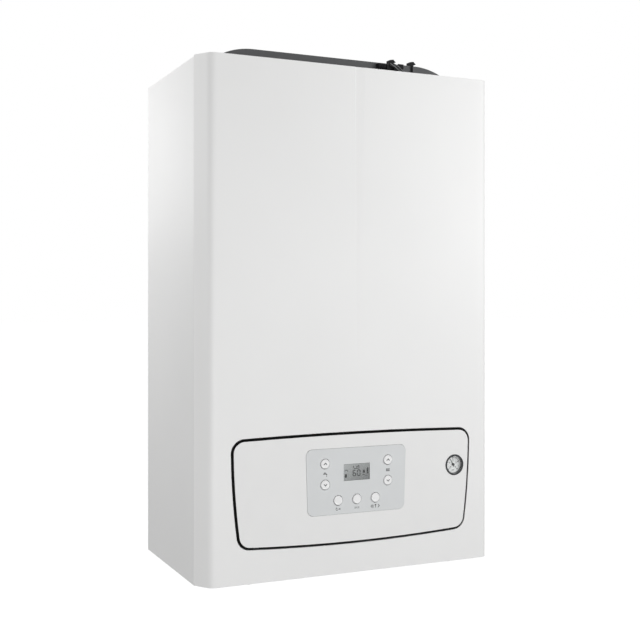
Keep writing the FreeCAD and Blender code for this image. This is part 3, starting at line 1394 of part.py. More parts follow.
def return_group():
    """The return manifold with the pump's volute; the impeller runs in it on the motor's shaft."""
    parts = water_group("return", 1)
    parts.append(rod("volute", "d", PUMP, (PUMP_BACK, PUMP_FRONT), "pump_radius"))
    neck = (f"{PUMP[0]} - pump_radius / 2", f"{PUMP[0]} + pump_radius / 2")
    heights = ("connection_top + group_round", PUMP[1])
    neck_back = f"min({GROUP_BACK}; {PUMP_FRONT} - pump_neck)"
    parts.append(block("volute_neck", neck, (neck_back, PUMP_FRONT), heights))
    ends = f"{PUMP_FRONT} - pump_neck / 2; {GROUP_BACK} + pump_neck"
    low = ("connection_top + group_round", f"{GROUP_TOP} - group_round")
    parts.append(block("volute_foot", neck, (f"min({ends})", f"max({ends})"), low))
    tower = (PORT_X, RETURN_TOWER_DEPTH)
    parts.append(rod("return_tower", "z", tower, (PUMP[1], RETURN_TOWER_TOP), "tower_radius"))
    inside = (f"{PUMP_BACK} + pump_wall", f"{PUMP_FRONT} + overrun")
    well = rod("volute_well", "d", PUMP, inside, "pump_radius - pump_wall")
    node(cut("return_group_cut", fuse("return_mass", *parts), well), "return_group")
    back = f"({PUMP_BACK} + pump_wall + impeller_gap)"
    end = f"({PUMP_FRONT} - impeller_gap)"
    disc = rod("impeller_disc", "d", PUMP, (f"{end} - impeller_plate", end), IMPELLER_RADIUS)
    hub = rod("impeller_hub", "d", PUMP, (back, end), "impeller_hub_radius")
    radii = ("impeller_eye_radius", f"{IMPELLER_RADIUS} - impeller_blade")
    vanes = blade_ring("impeller_vanes", PUMP, (back, f"{end} - impeller_plate / 2"), radii,
                       "impeller_blade", "impeller_blade_angle", VANES)
    through = (f"{back} - overrun", f"{end} + overrun")
    bore = rod("impeller_bore", "d", PUMP, through, "shaft_radius + shaft_fit")
    node(cut("impeller_cut", fuse("impeller_mass", disc, hub, vanes), bore), "pump_impeller")
    start = f"({PUMP_FRONT} + fit)"
    rim = f"({start} + pump_flange)"
    can_end = f"({BOX_BACK} - pump_motor_gap)"

    def at_end(edge):
        return abs(edge.CenterOfMass.y + size(can_end)) < size("fit")
    flange = rod("pump_rim", "d", PUMP, (start, rim), "pump_radius - pump_flange_inset")
    can_rod = rod("pump_can_rod", "d", PUMP, (start, can_end), "pump_motor_radius")
    can = soften("pump_can", can_rod, "pump_motor_round", at_end)
    terminal = block("pump_terminal", (f"{PUMP[0]} - terminal_half_width", f"{PUMP[0]} + terminal_half_width"),
                     (f"{rim} + terminal_inset", f"{can_end} - terminal_inset"),
                     (PUMP[1], f"{PUMP[1]} + terminal_rise"))
    shaft = rod("pump_shaft", "d", PUMP, (back, start), "shaft_radius")
    node(fuse("pump_motor_joined", flange, can, terminal, shaft), "pump_motor")


def ribbed_knob(name, axis, at, span, radius, rib):
    """A round grip with ribs around it."""
    parts = [rod(f"{name}_core", axis, at, span, f"{radius} - {rib} / 2")]
    for number in range(KNOB_RIBS):
        angle = 360 * number / KNOB_RIBS
        reach = f"({radius} - {rib})"
        spot = (f"{at[0]} + {reach} * cos({angle})", f"{at[1]} + {reach} * sin({angle})")
        parts.append(rod(f"{name}_rib", axis, spot, span, rib))
    return parts


def safety_valve():
    """The valve on the outer end of the return manifold, and its test knob."""
    at = (f"(({GROUP_BACK} + {GROUP_FRONT}) / 2)", GROUP_MIDDLE)
    seat = f"({GROUP_OUTER} + safety_length)"
    node(hexagon("safety_body", "x", at, (GROUP_OUTER, seat), "safety_radius"), "safety_valve")
    span = (f"{seat} + fit", f"{seat} + fit + safety_knob_length")
    grip = ribbed_knob("safety_grip", "x", at, span, "safety_knob_radius", "safety_rib_radius")
    node(fuse("safety_knob_joined", *grip), "safety_knob")


def filling_knob():
    seat = "(-filling_spindle_radius)"
    spindle = rod("filling_spindle", "z", FILLING, (seat, "connection_top - fit"), "filling_spindle_radius")
    span = (f"{seat} - filling_knob_height", seat)
    grip = ribbed_knob("filling_grip", "z", FILLING, span, "filling_knob_radius", "filling_rib_radius")
    node(fuse("filling_knob_joined", spindle, *grip), "filling_knob")


def nipples():
    """Threaded stubs under the casing: flow, hot water, gas, cold water and return, from left to right."""
    stubs = []
    for number in range(-2, 3):
        radius = "small_thread_radius" if abs(number) == 1 else "large_thread_radius"
        at = (f"{number} * {PITCH}", "connection_depth")
        tube = rod("nipple_tube", "z", at, ("-connection_drop", "connection_top"), radius)
        collar = hexagon("nipple_hex", "z", at, ("-connection_hex_height", "0"), f"{radius} + connection_hex")
        through = ("-connection_drop - overrun", "connection_top + overrun")
        bore = rod("nipple_bore", "z", at, through, f"{radius} - connection_wall")
        stubs.append(cut(f"nipple_{number + 2}", fuse("nipple_mass", tube, collar), bore))
    node(group("nipple_set", *stubs), "connection_nipples")


def plate_exchanger():
    """A brazed stack: a core with a lipped plate at each step, on a foot at the rear frame."""
    inner = "(plate_half_width - plate_lip)"
    core = block("plate_core", (f"-{inner}", inner), ("plate_back", "plate_front"),
                 ("plate_low + plate_lip", f"{PLATE_TOP} - plate_lip"))
    step = f"((plate_front - plate_back) / {2 * PLATES - 1})"
    across = ("-plate_half_width", "plate_half_width")
    plates = []
    for number in range(PLATES):
        back = f"plate_back + {2 * number} * {step}"
        plates.append(block("plate_leaf", across, (back, f"{back} + {step}"), ("plate_low", PLATE_TOP)))
    foot = block("plate_foot", ("-plate_foot_half_width", "plate_foot_half_width"),
                 ("sheet", "plate_back + overrun"),
                 (f"{PLATE_TOP} - 2 * plate_foot_height", f"{PLATE_TOP} - plate_foot_height"))
    node(fuse("plate_joined", core, foot, *plates), "plate_exchanger")


def water_pipes():
    jog = f"({PORT_LOW} - pipe_jog_drop)"
    for label, side, depth, low in (
        ("flow_pipe", -1, FLOW_TOWER_DEPTH, FLOW_TOWER_TOP),
        ("return_pipe", 1, RETURN_TOWER_DEPTH, RETURN_TOWER_TOP),
    ):
        x = f"{side} * {PORT_X}"
        node(pipe(f"{label}_run", [
            (x, PORT_DEPTH, PORT_LOW),
            (x, PORT_DEPTH, jog),
            (x, depth, f"{jog} - pipe_jog_height"),
            (x, depth, low),
        ], "pipe_radius", "pipe_bend"), label)


def oblong(name, shrink, thickness):
    """The expansion vessel's flat oblong form, shrunk all round and with a thickness of its own."""
    span = (f"{VESSEL_X} - {thickness} / 2", f"{VESSEL_X} + {thickness} / 2")
    radius = f"({VESSEL_RADIUS} - ({shrink}))"
    low, high = f"({VESSEL_LOW} + {VESSEL_RADIUS})", f"({VESSEL_TOP} - {VESSEL_RADIUS})"
    depth = (f"{VESSEL_DEPTH} - {radius}", f"{VESSEL_DEPTH} + {radius}")
    middle = block(f"{name}_middle", span, depth, (low, high))
    ends = [rod(f"{name}_end", "x", (VESSEL_DEPTH, z), span, radius) for z in (low, high)]
    return fuse(name, middle, *ends)


def round_oblong(name, shrink, thickness, radius):
    """The oblong form with the rims of its two flat faces rounded."""
    reach = size(thickness) / 2

    def on_faces(edge):
        return all(abs(abs(vertex.X - size(VESSEL_X)) - reach) < size("fit") for vertex in edge.Vertexes)
    return soften(name, oblong(f"{name}_sharp", shrink, thickness), radius, on_faces)


def expansion_vessel():
    """A hollow flat vessel with a rolled seam, on a foot at the rear frame, and its pipe to the flow group."""
    shell = round_oblong("vessel_shell", "vessel_seam", VESSEL_THICKNESS, "vessel_round")
    hollow = round_oblong("vessel_hollow", "vessel_seam + vessel_wall",
                          f"({VESSEL_THICKNESS} - 2 * vessel_wall)", "vessel_round - vessel_wall")
    seam = oblong("vessel_seam_ring", "0", "vessel_seam_width")
    half = f"({VESSEL_THICKNESS} * vessel_foot_share / 2)"
    foot = block("vessel_foot", (f"{VESSEL_X} - {half}", f"{VESSEL_X} + {half}"),
                 ("sheet", "vessel_back + 2 * vessel_seam"),
                 (f"{VESSEL_LOW} + {VESSEL_RADIUS}", f"{VESSEL_TOP} - {VESSEL_RADIUS}"))
    at = (VESSEL_STUB_X, VESSEL_STUB_DEPTH)
    low = f"({VESSEL_LOW} - vessel_stub)"
    inside = f"({VESSEL_LOW} + {VESSEL_RADIUS})"
    stub = rod("vessel_port", "z", at, (low, inside), "vessel_stub_radius")
    bore = rod("vessel_bore", "z", at, (f"{low} - overrun", inside), "vessel_pipe_radius")
    node(cut("vessel_cut", fuse("vessel_joined", shell, seam, foot, stub), hollow, bore), "expansion_vessel")
    node(pipe("vessel_run", [
        (*at, low),
        (*at, GROUP_MIDDLE),
        (f"-{GROUP_OUTER}", VESSEL_STUB_DEPTH, GROUP_MIDDLE),
    ], "vessel_pipe_radius", "vessel_pipe_bend"), "vessel_pipe")


def check_and_write():
    """Stops on any failed object, then writes one file for each sub-part."""
    doc.recompute()
    for obj in doc.Objects:
        if "Invalid" in obj.State or "Error" in obj.State:
            raise RuntimeError(f"{obj.Label} failed: {obj.State}")
    for obj in NODES:
        if obj.Shape.isNull() or not obj.Shape.isValid() or not obj.Shape.Solids:
            raise RuntimeError(f"{obj.Label} has no sound shape")
    os.makedirs("parts", exist_ok=True)
    for obj in NODES:
        obj.Shape.exportStep(f"parts/{obj.Label}.step")
        print(obj.Label, len(obj.Shape.Solids), round(obj.Shape.Volume / 1000, 2))
    print(len(NODES), "sub-parts")


side_panel("left_side_panel", -1)
side_panel("right_side_panel", 1)
rear_frame()
end_panels()
front_cover()
cover_screws()
top_hood()
hood_hooks()
flue_collar()
panel_frame()
fascia()
keypad()
buttons()
control_box()
gauge()
crossbar()
heat_exchanger()
burner_door()
burner()
electrode()
gas_air_duct()
fan()
air_intake()
gas_line()
condensate()
flow_group()
return_group()
safety_valve()
filling_knob()
nipples()
plate_exchanger()
water_pipes()
expansion_vessel()
check_and_write()
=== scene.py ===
import math

import bmesh
import bpy
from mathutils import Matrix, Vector

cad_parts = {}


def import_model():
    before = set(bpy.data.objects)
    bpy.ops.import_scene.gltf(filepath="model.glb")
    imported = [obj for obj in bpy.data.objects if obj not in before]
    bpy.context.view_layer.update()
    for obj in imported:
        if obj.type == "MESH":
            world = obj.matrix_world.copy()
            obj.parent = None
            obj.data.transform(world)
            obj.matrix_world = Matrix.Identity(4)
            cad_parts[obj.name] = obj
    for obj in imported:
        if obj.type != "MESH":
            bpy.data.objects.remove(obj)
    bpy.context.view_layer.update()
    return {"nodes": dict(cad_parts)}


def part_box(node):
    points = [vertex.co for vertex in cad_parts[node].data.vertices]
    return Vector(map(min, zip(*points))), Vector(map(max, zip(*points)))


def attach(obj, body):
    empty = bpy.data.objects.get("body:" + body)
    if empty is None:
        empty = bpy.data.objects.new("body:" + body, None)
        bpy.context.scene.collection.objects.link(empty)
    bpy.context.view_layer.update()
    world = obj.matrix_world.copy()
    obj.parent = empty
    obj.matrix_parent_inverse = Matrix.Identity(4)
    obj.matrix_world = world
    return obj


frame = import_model()
NODES = frame["nodes"]

MM = 0.001
BUTTON_DISH = 0.25 * MM  # the depth of the dish in a button's cap

# The buttons, and which way the chevron on each points
BUTTONS = {
    "button_water_up": "up",
    "button_water_down": "down",
    "button_heating_up": "up",
    "button_heating_down": "down",
    "button_reset": None,
    "button_info": None,
    "button_mode": None,
}


# Materials


class Shader:
    """A Principled material with helpers for the nodes that drive it."""

    def __init__(self, name):
        self.material = bpy.data.materials.new(name)
        self.material.use_nodes = True
        self.tree = self.material.node_tree
        self.out = self.tree.nodes["Material Output"]
        self.bsdf = self.tree.nodes["Principled BSDF"]
        self.place = self.node("ShaderNodeTexCoord").outputs["Object"]

    def node(self, kind, **settings):
        made = self.tree.nodes.new(kind)
        for key, value in settings.items():
            if key in made.inputs:
                made.inputs[key].default_value = value
            else:
                setattr(made, key, value)
        return made

    def link(self, source, target):
        self.tree.links.new(source, target)

    def stretched(self, scale):
        """Object coordinates stretched along the axes, for grain with a direction."""
        mapping = self.node("ShaderNodeMapping")
        mapping.inputs["Scale"].default_value = scale
        self.link(self.place, mapping.inputs["Vector"])
        return mapping.outputs["Vector"]

    def noise(self, scale, detail=3.0, vector=None):
        """Noise between 0 and 1 over the object's own coordinates."""
        made = self.node("ShaderNodeTexNoise", Scale=scale, Detail=detail)
        self.link(vector or self.place, made.inputs["Vector"])
        return made.outputs["Fac"]

    def ramp(self, source, low, high, dark, light):
        """A colour ramp from dark to light between two values of the source."""
        made = self.node("ShaderNodeValToRGB")
        made.color_ramp.elements[0].position = low
        made.color_ramp.elements[0].color = (*dark, 1)
        made.color_ramp.elements[1].position = high
        made.color_ramp.elements[1].color = (*light, 1)
        self.link(source, made.inputs["Fac"])
        return made.outputs["Color"]

    def spread(self, source, low, high):
        """The source's range from 0 to 1 mapped onto another range."""
        made = self.node("ShaderNodeMapRange")
        made.inputs["To Min"].default_value = low
        made.inputs["To Max"].default_value = high
        self.link(source, made.inputs["Value"])
        return made.outputs["Result"]

    def bump(self, source, strength, distance):
        """Fine relief from the source's height."""
        made = self.node("ShaderNodeBump", Strength=strength, Distance=distance)
        self.link(source, made.inputs["Height"])
        self.link(made.outputs["Normal"], self.bsdf.inputs["Normal"])

    def colour(self, source):
        self.link(source, self.bsdf.inputs["Base Color"])

    def roughness(self, source):
        self.link(source, self.bsdf.inputs["Roughness"])

    def set(self, **values):
        """Sets the shader's own sockets; an underscore stands for a space in a socket's name."""
        for key, value in values.items():
            self.bsdf.inputs[key.replace("_", " ")].default_value = value


def tint(colour, share):
    """The colour made darker or lighter by a share."""
    return tuple(min(1.0, c * share) for c in colour)


def paint(name, colour, gloss=0.3):
    """Stove enamel or powder coat: a fine orange peel and a faint drift of tone."""
    s = Shader(name)
    s.colour(s.ramp(s.noise(5, 2), 0.3, 0.7, tint(colour, 0.985), tint(colour, 1.01)))
    s.roughness(s.spread(s.noise(40, 4), gloss - 0.04, gloss + 0.05))
    s.bump(s.noise(700, 2), 0.05, 0.0004)
    s.set(Coat_Weight=0.05, Coat_Roughness=0.3)
    return s.material


def moulded(name, colour, gloss=0.45, grain=1500, depth=0.25, drift=0.06):
    """Moulded plastic: a fine spark-eroded grain and a drift of tone."""
    s = Shader(name)
    s.colour(s.ramp(s.noise(25, 3), 0.3, 0.7, tint(colour, 1 - drift), tint(colour, 1 + drift)))
    s.roughness(s.spread(s.noise(grain / 3, 4), gloss - 0.07, gloss + 0.08))
    s.bump(s.noise(grain, 2), depth, 0.0002)
    return s.material


def cast_metal(name, colour, gloss=0.5, grain=420):
    """Sand or die casting: a pebbled skin with darker hollows."""
    s = Shader(name)
    s.colour(s.ramp(s.noise(60, 5), 0.3, 0.75, tint(colour, 0.72), tint(colour, 1.05)))
    s.roughness(s.spread(s.noise(grain / 4, 4), gloss - 0.12, gloss + 0.14))
    s.bump(s.noise(grain, 4), 0.35, 0.0006)
    s.set(Metallic=1.0)
    return s.material


def drawn_metal(name, colour, gloss=0.28, along=(1, 1, 0.04)):
    """Drawn or brushed metal: fine lines along one axis and a little tarnish."""
    s = Shader(name)
    lines = s.noise(900, 3, s.stretched(along))
    s.colour(s.ramp(s.noise(18, 5), 0.3, 0.75, tint(colour, 0.8), tint(colour, 1.05)))
    s.roughness(s.spread(lines, gloss - 0.1, gloss + 0.16))
    s.bump(lines, 0.12, 0.0002)
    s.set(Metallic=1.0)
    return s.material


def galvanised(name):
    """Zinc-coated sheet: a mosaic of spangles of different tone and gloss."""
    s = Shader(name)
    cells = s.node("ShaderNodeTexVoronoi", Scale=170)
    s.link(s.place, cells.inputs["Vector"])
    grey = s.node("ShaderNodeSeparateColor")
    s.link(cells.outputs["Color"], grey.inputs["Color"])
    s.colour(s.ramp(grey.outputs["Red"], 0.0, 1.0, (0.53, 0.55, 0.565), (0.63, 0.65, 0.66)))
    s.roughness(s.spread(grey.outputs["Green"], 0.34, 0.52))
    s.bump(s.noise(500, 3), 0.06, 0.0003)
    s.set(Metallic=0.9)
    return s.material


def rubber(name):
    """Matt rubber with a dusty, uneven black."""
    s = Shader(name)
    s.colour(s.ramp(s.noise(90, 5), 0.35, 0.7, (0.012, 0.012, 0.012), (0.03, 0.03, 0.031)))
    s.roughness(s.spread(s.noise(200, 3), 0.62, 0.8))
    s.bump(s.noise(1100, 3), 0.3, 0.0003)
    return s.material


def clear(name, colour):
    """A clear cover: mostly see-through, with a gloss that grows at grazing angles and faint dust."""
    s = Shader(name)
    see = s.node("ShaderNodeBsdfTransparent", Color=(*colour, 1))
    gloss = s.node("ShaderNodeBsdfGlossy")
    s.link(s.spread(s.noise(300, 3), 0.03, 0.09), gloss.inputs["Roughness"])
    slant = s.node("ShaderNodeLayerWeight", Blend=0.1)
    mix = s.node("ShaderNodeMixShader")
    s.link(slant.outputs["Facing"], mix.inputs["Fac"])
    s.link(see.outputs["BSDF"], mix.inputs[1])
    s.link(gloss.outputs["BSDF"], mix.inputs[2])
    s.link(mix.outputs["Shader"], s.out.inputs["Surface"])
    return s.material


# Painted shade runs across the display: how much it slants, and the heights in metres where it is darkest and
# lightest
DISPLAY_SHADE_SLANT = -0.55
DISPLAY_SHADE_LOW, DISPLAY_SHADE_HIGH = 0.113, 0.157


def display_face(name):
    """Reflective liquid crystal: its own grey with painted shade that darkens it towards the lower right corner,
    over a fine cell grid.
    """
    s = Shader(name)
    axes = s.node("ShaderNodeSeparateXYZ")
    s.link(s.place, axes.inputs["Vector"])
    # Painted shade: the grey is set by place across the display, lighter at the upper left and darker at the lower
    # right
    slope = s.node("ShaderNodeMath", operation="MULTIPLY_ADD")
    s.link(axes.outputs["X"], slope.inputs[0])
    slope.inputs[1].default_value = DISPLAY_SHADE_SLANT
    s.link(axes.outputs["Z"], slope.inputs[2])
    drift = s.node("ShaderNodeMapRange")
    drift.inputs["From Min"].default_value = DISPLAY_SHADE_LOW
    drift.inputs["From Max"].default_value = DISPLAY_SHADE_HIGH
    s.link(slope.outputs["Value"], drift.inputs["Value"])
    s.colour(s.ramp(drift.outputs["Result"], 0.0, 1.0, (0.19, 0.195, 0.195), (0.50, 0.51, 0.51)))
    s.roughness(s.spread(s.noise(800, 2), 0.3, 0.42))
    s.bump(s.noise(2400, 1), 0.05, 0.0001)
    return s.material


def board(name):
    """Circuit board: solder mask over a mesh of tracks."""
    s = Shader(name)
    tracks = s.node("ShaderNodeTexBrick", Scale=140)
    s.link(s.place, tracks.inputs["Vector"])
    tracks.inputs["Color1"].default_value = (0.010, 0.10, 0.035, 1)
    tracks.inputs["Color2"].default_value = (0.012, 0.13, 0.045, 1)
    tracks.inputs["Mortar"].default_value = (0.03, 0.22, 0.08, 1)
    s.colour(tracks.outputs["Color"])
    s.roughness(s.spread(s.noise(300, 3), 0.3, 0.5))
    s.bump(tracks.outputs["Fac"], 0.3, 0.0002)
    return s.material


def mark_ink(name, colour):
    """Screen-printed ink, slightly uneven."""
    s = Shader(name)
    s.colour(s.ramp(s.noise(1200, 2), 0.3, 0.7, tint(colour, 0.85), tint(colour, 1.1)))
    s.roughness(s.spread(s.noise(600, 2), 0.45, 0.6))
    return s.material


def dull(material, level):
    """Takes down the mirror-like part of a material."""
    material.node_tree.nodes["Principled BSDF"].inputs["Specular IOR Level"].default_value = level
    return material


WHITE_PAINT = paint("white_enamel", (0.90, 0.90, 0.895), gloss=0.48)
WHITE_PLASTIC = moulded("white_moulding", (0.88, 0.88, 0.875), gloss=0.32, grain=1800, depth=0.06, drift=0.008)
BUTTON_WHITE = moulded("button_white", (0.93, 0.93, 0.93), gloss=0.36, grain=2000, depth=0.05, drift=0.01)
KEYPAD_GREY = moulded("keypad_grey", (0.725, 0.74, 0.745), gloss=0.38, grain=2200, depth=0.08, drift=0.012)
HOOD_GREY = moulded("hood_grey", (0.064, 0.066, 0.068), gloss=0.5, grain=900, depth=0.4)
BLACK_PLASTIC = moulded("black_moulding", (0.012, 0.012, 0.013), gloss=0.45, grain=1300, depth=0.3)
HOOK_BLACK = dull(moulded("hook_black", (0.01, 0.01, 0.011), gloss=0.6, grain=1300, depth=0.3), 0.15)
CLIP_GREY = moulded("clip_grey", (0.10, 0.102, 0.104), gloss=0.5, grain=1300, depth=0.2)
FRAME_BLACK = dull(moulded("matt_black_moulding", (0.004, 0.004, 0.004), gloss=0.75, grain=1300, depth=0.3), 0.1)
TRAP_PLASTIC = moulded("trap_grey", (0.60, 0.60, 0.58), gloss=0.45, grain=1200, depth=0.2)
RED_PLASTIC = moulded("red_moulding", (0.50, 0.02, 0.015), gloss=0.35, grain=1400, depth=0.15)
CERAMIC = moulded("glazed_ceramic", (0.80, 0.77, 0.70), gloss=0.2, grain=600, depth=0.08)
MOTOR_PAINT = paint("motor_black", (0.02, 0.02, 0.022), gloss=0.42)
VESSEL_PAINT = paint("vessel_red", (0.42, 0.016, 0.014), gloss=0.32)
GALVANISED = galvanised("galvanised_sheet")
CAST = cast_metal("cast_aluminium", (0.60, 0.61, 0.62))
STEEL = drawn_metal("bright_steel", (0.56, 0.56, 0.55), gloss=0.3, along=(0.05, 1, 1))
COPPER = drawn_metal("copper_tube", (0.62, 0.30, 0.19), gloss=0.26)
BRASS = cast_metal("machined_brass", (0.62, 0.46, 0.20), gloss=0.34, grain=700)
RIM = drawn_metal("gauge_rim", (0.065, 0.067, 0.07), gloss=0.2, along=(1, 0.05, 1))
RUBBER = rubber("black_rubber")
CLEAR = clear("clear_cover", (0.99, 0.995, 0.995))
DISPLAY = display_face("display_face")
BOARD = board("circuit_board")
DIAL_WHITE = moulded("dial_white", (0.97, 0.97, 0.965), gloss=0.5, grain=2000, depth=0.05, drift=0.01)
INK_GREY = mark_ink("ink_grey", (0.035, 0.036, 0.038))
INK_BLACK = mark_ink("ink_black", (0.008, 0.008, 0.008))
CHEVRON_GREY = mark_ink("chevron_grey", (0.05, 0.052, 0.055))

# Which CAD nodes have which finish
FINISH = {
    WHITE_PAINT: ["left_side_panel", "right_side_panel", "front_cover"],
    GALVANISED: ["rear_frame", "top_panel", "bottom_panel", "panel_crossbar"],
    HOOD_GREY: ["top_hood"],
    FRAME_BLACK: ["panel_frame"],
    HOOK_BLACK: ["hood_hooks"],
    BLACK_PLASTIC: ["control_box_lid", "diverter_motor", "air_silencer", "filling_knob"],
    WHITE_PLASTIC: ["fascia"],
    BUTTON_WHITE: list(BUTTONS),
    KEYPAD_GREY: ["keypad_plate"],
    CLEAR: ["display_lens", "gauge_lens"],
    DISPLAY: ["display_module"],
    BOARD: ["control_board"],
    RIM: ["gauge_case"],
    DIAL_WHITE: ["gauge_dial"],
    INK_BLACK: ["gauge_needle"],
    CAST: [
        "flue_collar", "heat_exchanger", "burner_door", "gas_air_duct",
        "fan_housing", "fan_wheel", "venturi", "gas_valve",
    ],
    STEEL: ["cover_screws", "door_nuts", "burner", "plate_exchanger"],
    RUBBER: ["flue_gasket", "condensate_hose"],
    CERAMIC: ["spark_electrode"],
    MOTOR_PAINT: ["fan_motor", "pump_motor"],
    COPPER: ["gas_supply_pipe", "gas_feed_pipe", "flow_pipe", "return_pipe", "vessel_pipe"],
    BRASS: ["flow_group", "return_group", "safety_valve", "connection_nipples"],
    TRAP_PLASTIC: ["condensate_trap", "pump_impeller"],
    VESSEL_PAINT: ["expansion_vessel"],
    RED_PLASTIC: ["safety_knob"],
}
for material, names in FINISH.items():
    for name in names:
        NODES[name].data.materials.clear()
        NODES[name].data.materials.append(material)


# Printed marks and the display's figures: thin raised shapes that face the front. Their points are in millimetres,
# to the right of and above the centre of what they are printed on


def as_piece(mesh, name, body, material):
    """Turns a finished bmesh into a piece that rides on a body."""
    bmesh.ops.recalc_face_normals(mesh, faces=mesh.faces)
    data = bpy.data.meshes.new(name)
    mesh.to_mesh(data)
    mesh.free()
    piece = bpy.data.objects.new(name, data)
    bpy.context.scene.collection.objects.link(piece)
    data.materials.append(material)
    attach(piece, body)


class Mark:
    """Flat strokes and patches drawn in millimetres on a plane that faces the front."""

    def __init__(self, x, z):
        self.mesh = bmesh.new()
        self.x, self.z = x, z

    def patch(self, points):
        """A flat face with these corners."""
        corners = [self.mesh.verts.new((self.x + u * MM, 0, self.z + v * MM)) for u, v in points]
        self.mesh.faces.new(corners)

    def stroke(self, points, width, closed=False):
        """A band of even width along a line of points, with mitred corners."""
        count = len(points)
        left, right = [], []
        for i, point in enumerate(points):
            here = Vector(point)
            back = Vector(points[i - 1]) if closed or i else None
            ahead = Vector(points[(i + 1) % count]) if closed or i < count - 1 else None
            runs = [(a, b) for a, b in ((back, here), (here, ahead)) if a is not None and b is not None]
            sides = [(b - a).normalized().orthogonal() for a, b in runs]
            mitre = sum(sides, Vector((0, 0))).normalized()
            reach = width / 2 / max(0.4, mitre.dot(sides[0]))
            left.append(here + mitre * reach)
            right.append(here - mitre * reach)
        for i in range(count if closed else count - 1):
            j = (i + 1) % count
            self.patch([left[i], left[j], right[j], right[i]])

    def arc(self, centre, radius, start, end, width, steps=16):
        """A stroke along a circle; angles run clockwise from the top."""
        turn = [math.radians(start + (end - start) * i / steps) for i in range(steps + 1)]
        whole = abs(end - start) >= 360
        ring = [(centre[0] + radius * math.sin(t), centre[1] + radius * math.cos(t)) for t in turn]
        self.stroke(ring[:-1] if whole else ring, width, whole)

    def disc(self, centre, radius, steps=20):
        """A flat round face."""
        turn = [2 * math.pi * i / steps for i in range(steps)]
        self.patch([(centre[0] + radius * math.sin(t), centre[1] + radius * math.cos(t)) for t in turn])

    def build(self, name, body, depth, material, thickness=0.06):
        """Gives the drawing a thickness and sets it on the surface at that depth."""
        bmesh.ops.recalc_face_normals(self.mesh, faces=self.mesh.faces)
        made = bmesh.ops.extrude_face_region(self.mesh, geom=self.mesh.faces[:])
        raised = [v for v in made["geom"] if isinstance(v, bmesh.types.BMVert)]
        bmesh.ops.translate(self.mesh, verts=raised, vec=(0, -thickness * MM, 0))
        bmesh.ops.translate(self.mesh, verts=self.mesh.verts[:], vec=(0, -depth, 0))
        as_piece(self.mesh, name, body, material)


def centre_of(node):
    """The middle of a node's box, across and up."""
    low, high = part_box(node)
    return (low.x + high.x) / 2, (low.z + high.z) / 2


def front_of(node):
    """How far a node's front stands from the wall."""
    return -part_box(node)[0].y


def button_marks():
    """A chevron on each of the four buttons beside the display."""
    for node, way in BUTTONS.items():
        if way is None:
            continue
        sign = 1 if way == "up" else -1
        mark = Mark(*centre_of(node))
        mark.stroke([(-2.2, -1.0 * sign), (0, 1.2 * sign), (2.2, -1.0 * sign)], 1.0)
        mark.build(f"chevron_{node}", f"{node}_body", front_of(node) - BUTTON_DISH, CHEVRON_GREY, 0.12)


SYMBOL_DROP = 11.6  # from a lower button's middle down to its symbol, in millimetres


def keypad_marks():
    """Symbols for tap water, radiator and the three lower buttons."""
    depth = front_of("keypad_plate")
    level = (centre_of("button_water_up")[1] + centre_of("button_water_down")[1]) / 2
    tap = Mark(centre_of("button_water_up")[0], level)
    tap.stroke([(-2.8, 0.6), (1.2, 0.6), (2.2, 0.0), (2.2, -1.4)], 1.1)
    tap.stroke([(-0.4, 0.8), (-0.4, 2.0)], 0.8)
    tap.stroke([(-1.8, 2.1), (1.0, 2.1)], 0.7)
    tap.disc((2.2, -2.7), 0.5)
    tap.build("symbol_tap", "panel", depth, INK_GREY)
    heater = Mark(centre_of("button_heating_up")[0], level)
    for column in range(4):
        heater.stroke([(-2.1 + 1.4 * column, -1.8), (-2.1 + 1.4 * column, 2.0)], 0.75)
    for row in (-1.2, 1.4):
        heater.stroke([(-2.8, row), (2.8, row)], 0.5)
    heater.build("symbol_radiator", "panel", depth, INK_GREY)
    x, z = centre_of("button_reset")
    reset = Mark(x, z - SYMBOL_DROP * MM)
    reset.arc((-1.6, 0), 1.5, 40, 330, 0.6)
    reset.patch([(-3.1, 2.3), (-1.3, 1.5), (-2.6, 0.5)])
    reset.stroke([(1.4, -0.6), (3.4, -0.6)], 0.7)
    reset.stroke([(1.4, 0.7), (3.4, 0.7)], 0.7)
    reset.build("symbol_reset", "panel", depth, INK_GREY)
    x, z = centre_of("button_info")
    menu = Mark(x, z - SYMBOL_DROP * MM)
    for column in (-2.6, 0, 2.6):
        menu.stroke([(column - 0.9, -0.7), (column + 0.9, -0.7)], 0.6)
        menu.stroke([(column - 0.9, 0.6), (column + 0.9, 0.6)], 0.6)
    menu.build("symbol_menu", "panel", depth, INK_GREY)
    x, z = centre_of("button_mode")
    modes = Mark(x, z - SYMBOL_DROP * MM)
    sun = Vector((-4.8, 0))
    modes.arc(sun, 1.3, 0, 360, 0.7)
    for ray in range(0, 360, 45):
        t = math.radians(ray)
        toward = Vector((math.sin(t), math.cos(t)))
        modes.stroke([sun + toward * 1.9, sun + toward * 2.7], 0.55)
    modes.stroke([(0.2, -2.2), (0.2, 2.0)], 0.7)
    modes.stroke([(-1.2, 0.8), (0.2, 2.3), (1.6, 0.8)], 0.7)
    modes.stroke([(3.8, -2.1), (6.0, 0), (3.8, 2.1)], 0.8)
    modes.build("symbol_modes", "panel", depth, INK_GREY)


# The seven bars of a digit
SEGMENTS = {
    "top": [(-1.5, 3.0), (1.5, 3.0)],
    "high_left": [(-1.8, 2.7), (-1.8, 0.3)],
    "high_right": [(1.8, 2.7), (1.8, 0.3)],
    "middle": [(-1.5, 0.0), (1.5, 0.0)],
    "low_left": [(-1.8, -0.3), (-1.8, -2.7)],
    "low_right": [(1.8, -0.3), (1.8, -2.7)],
    "bottom": [(-1.5, -3.0), (1.5, -3.0)],
}


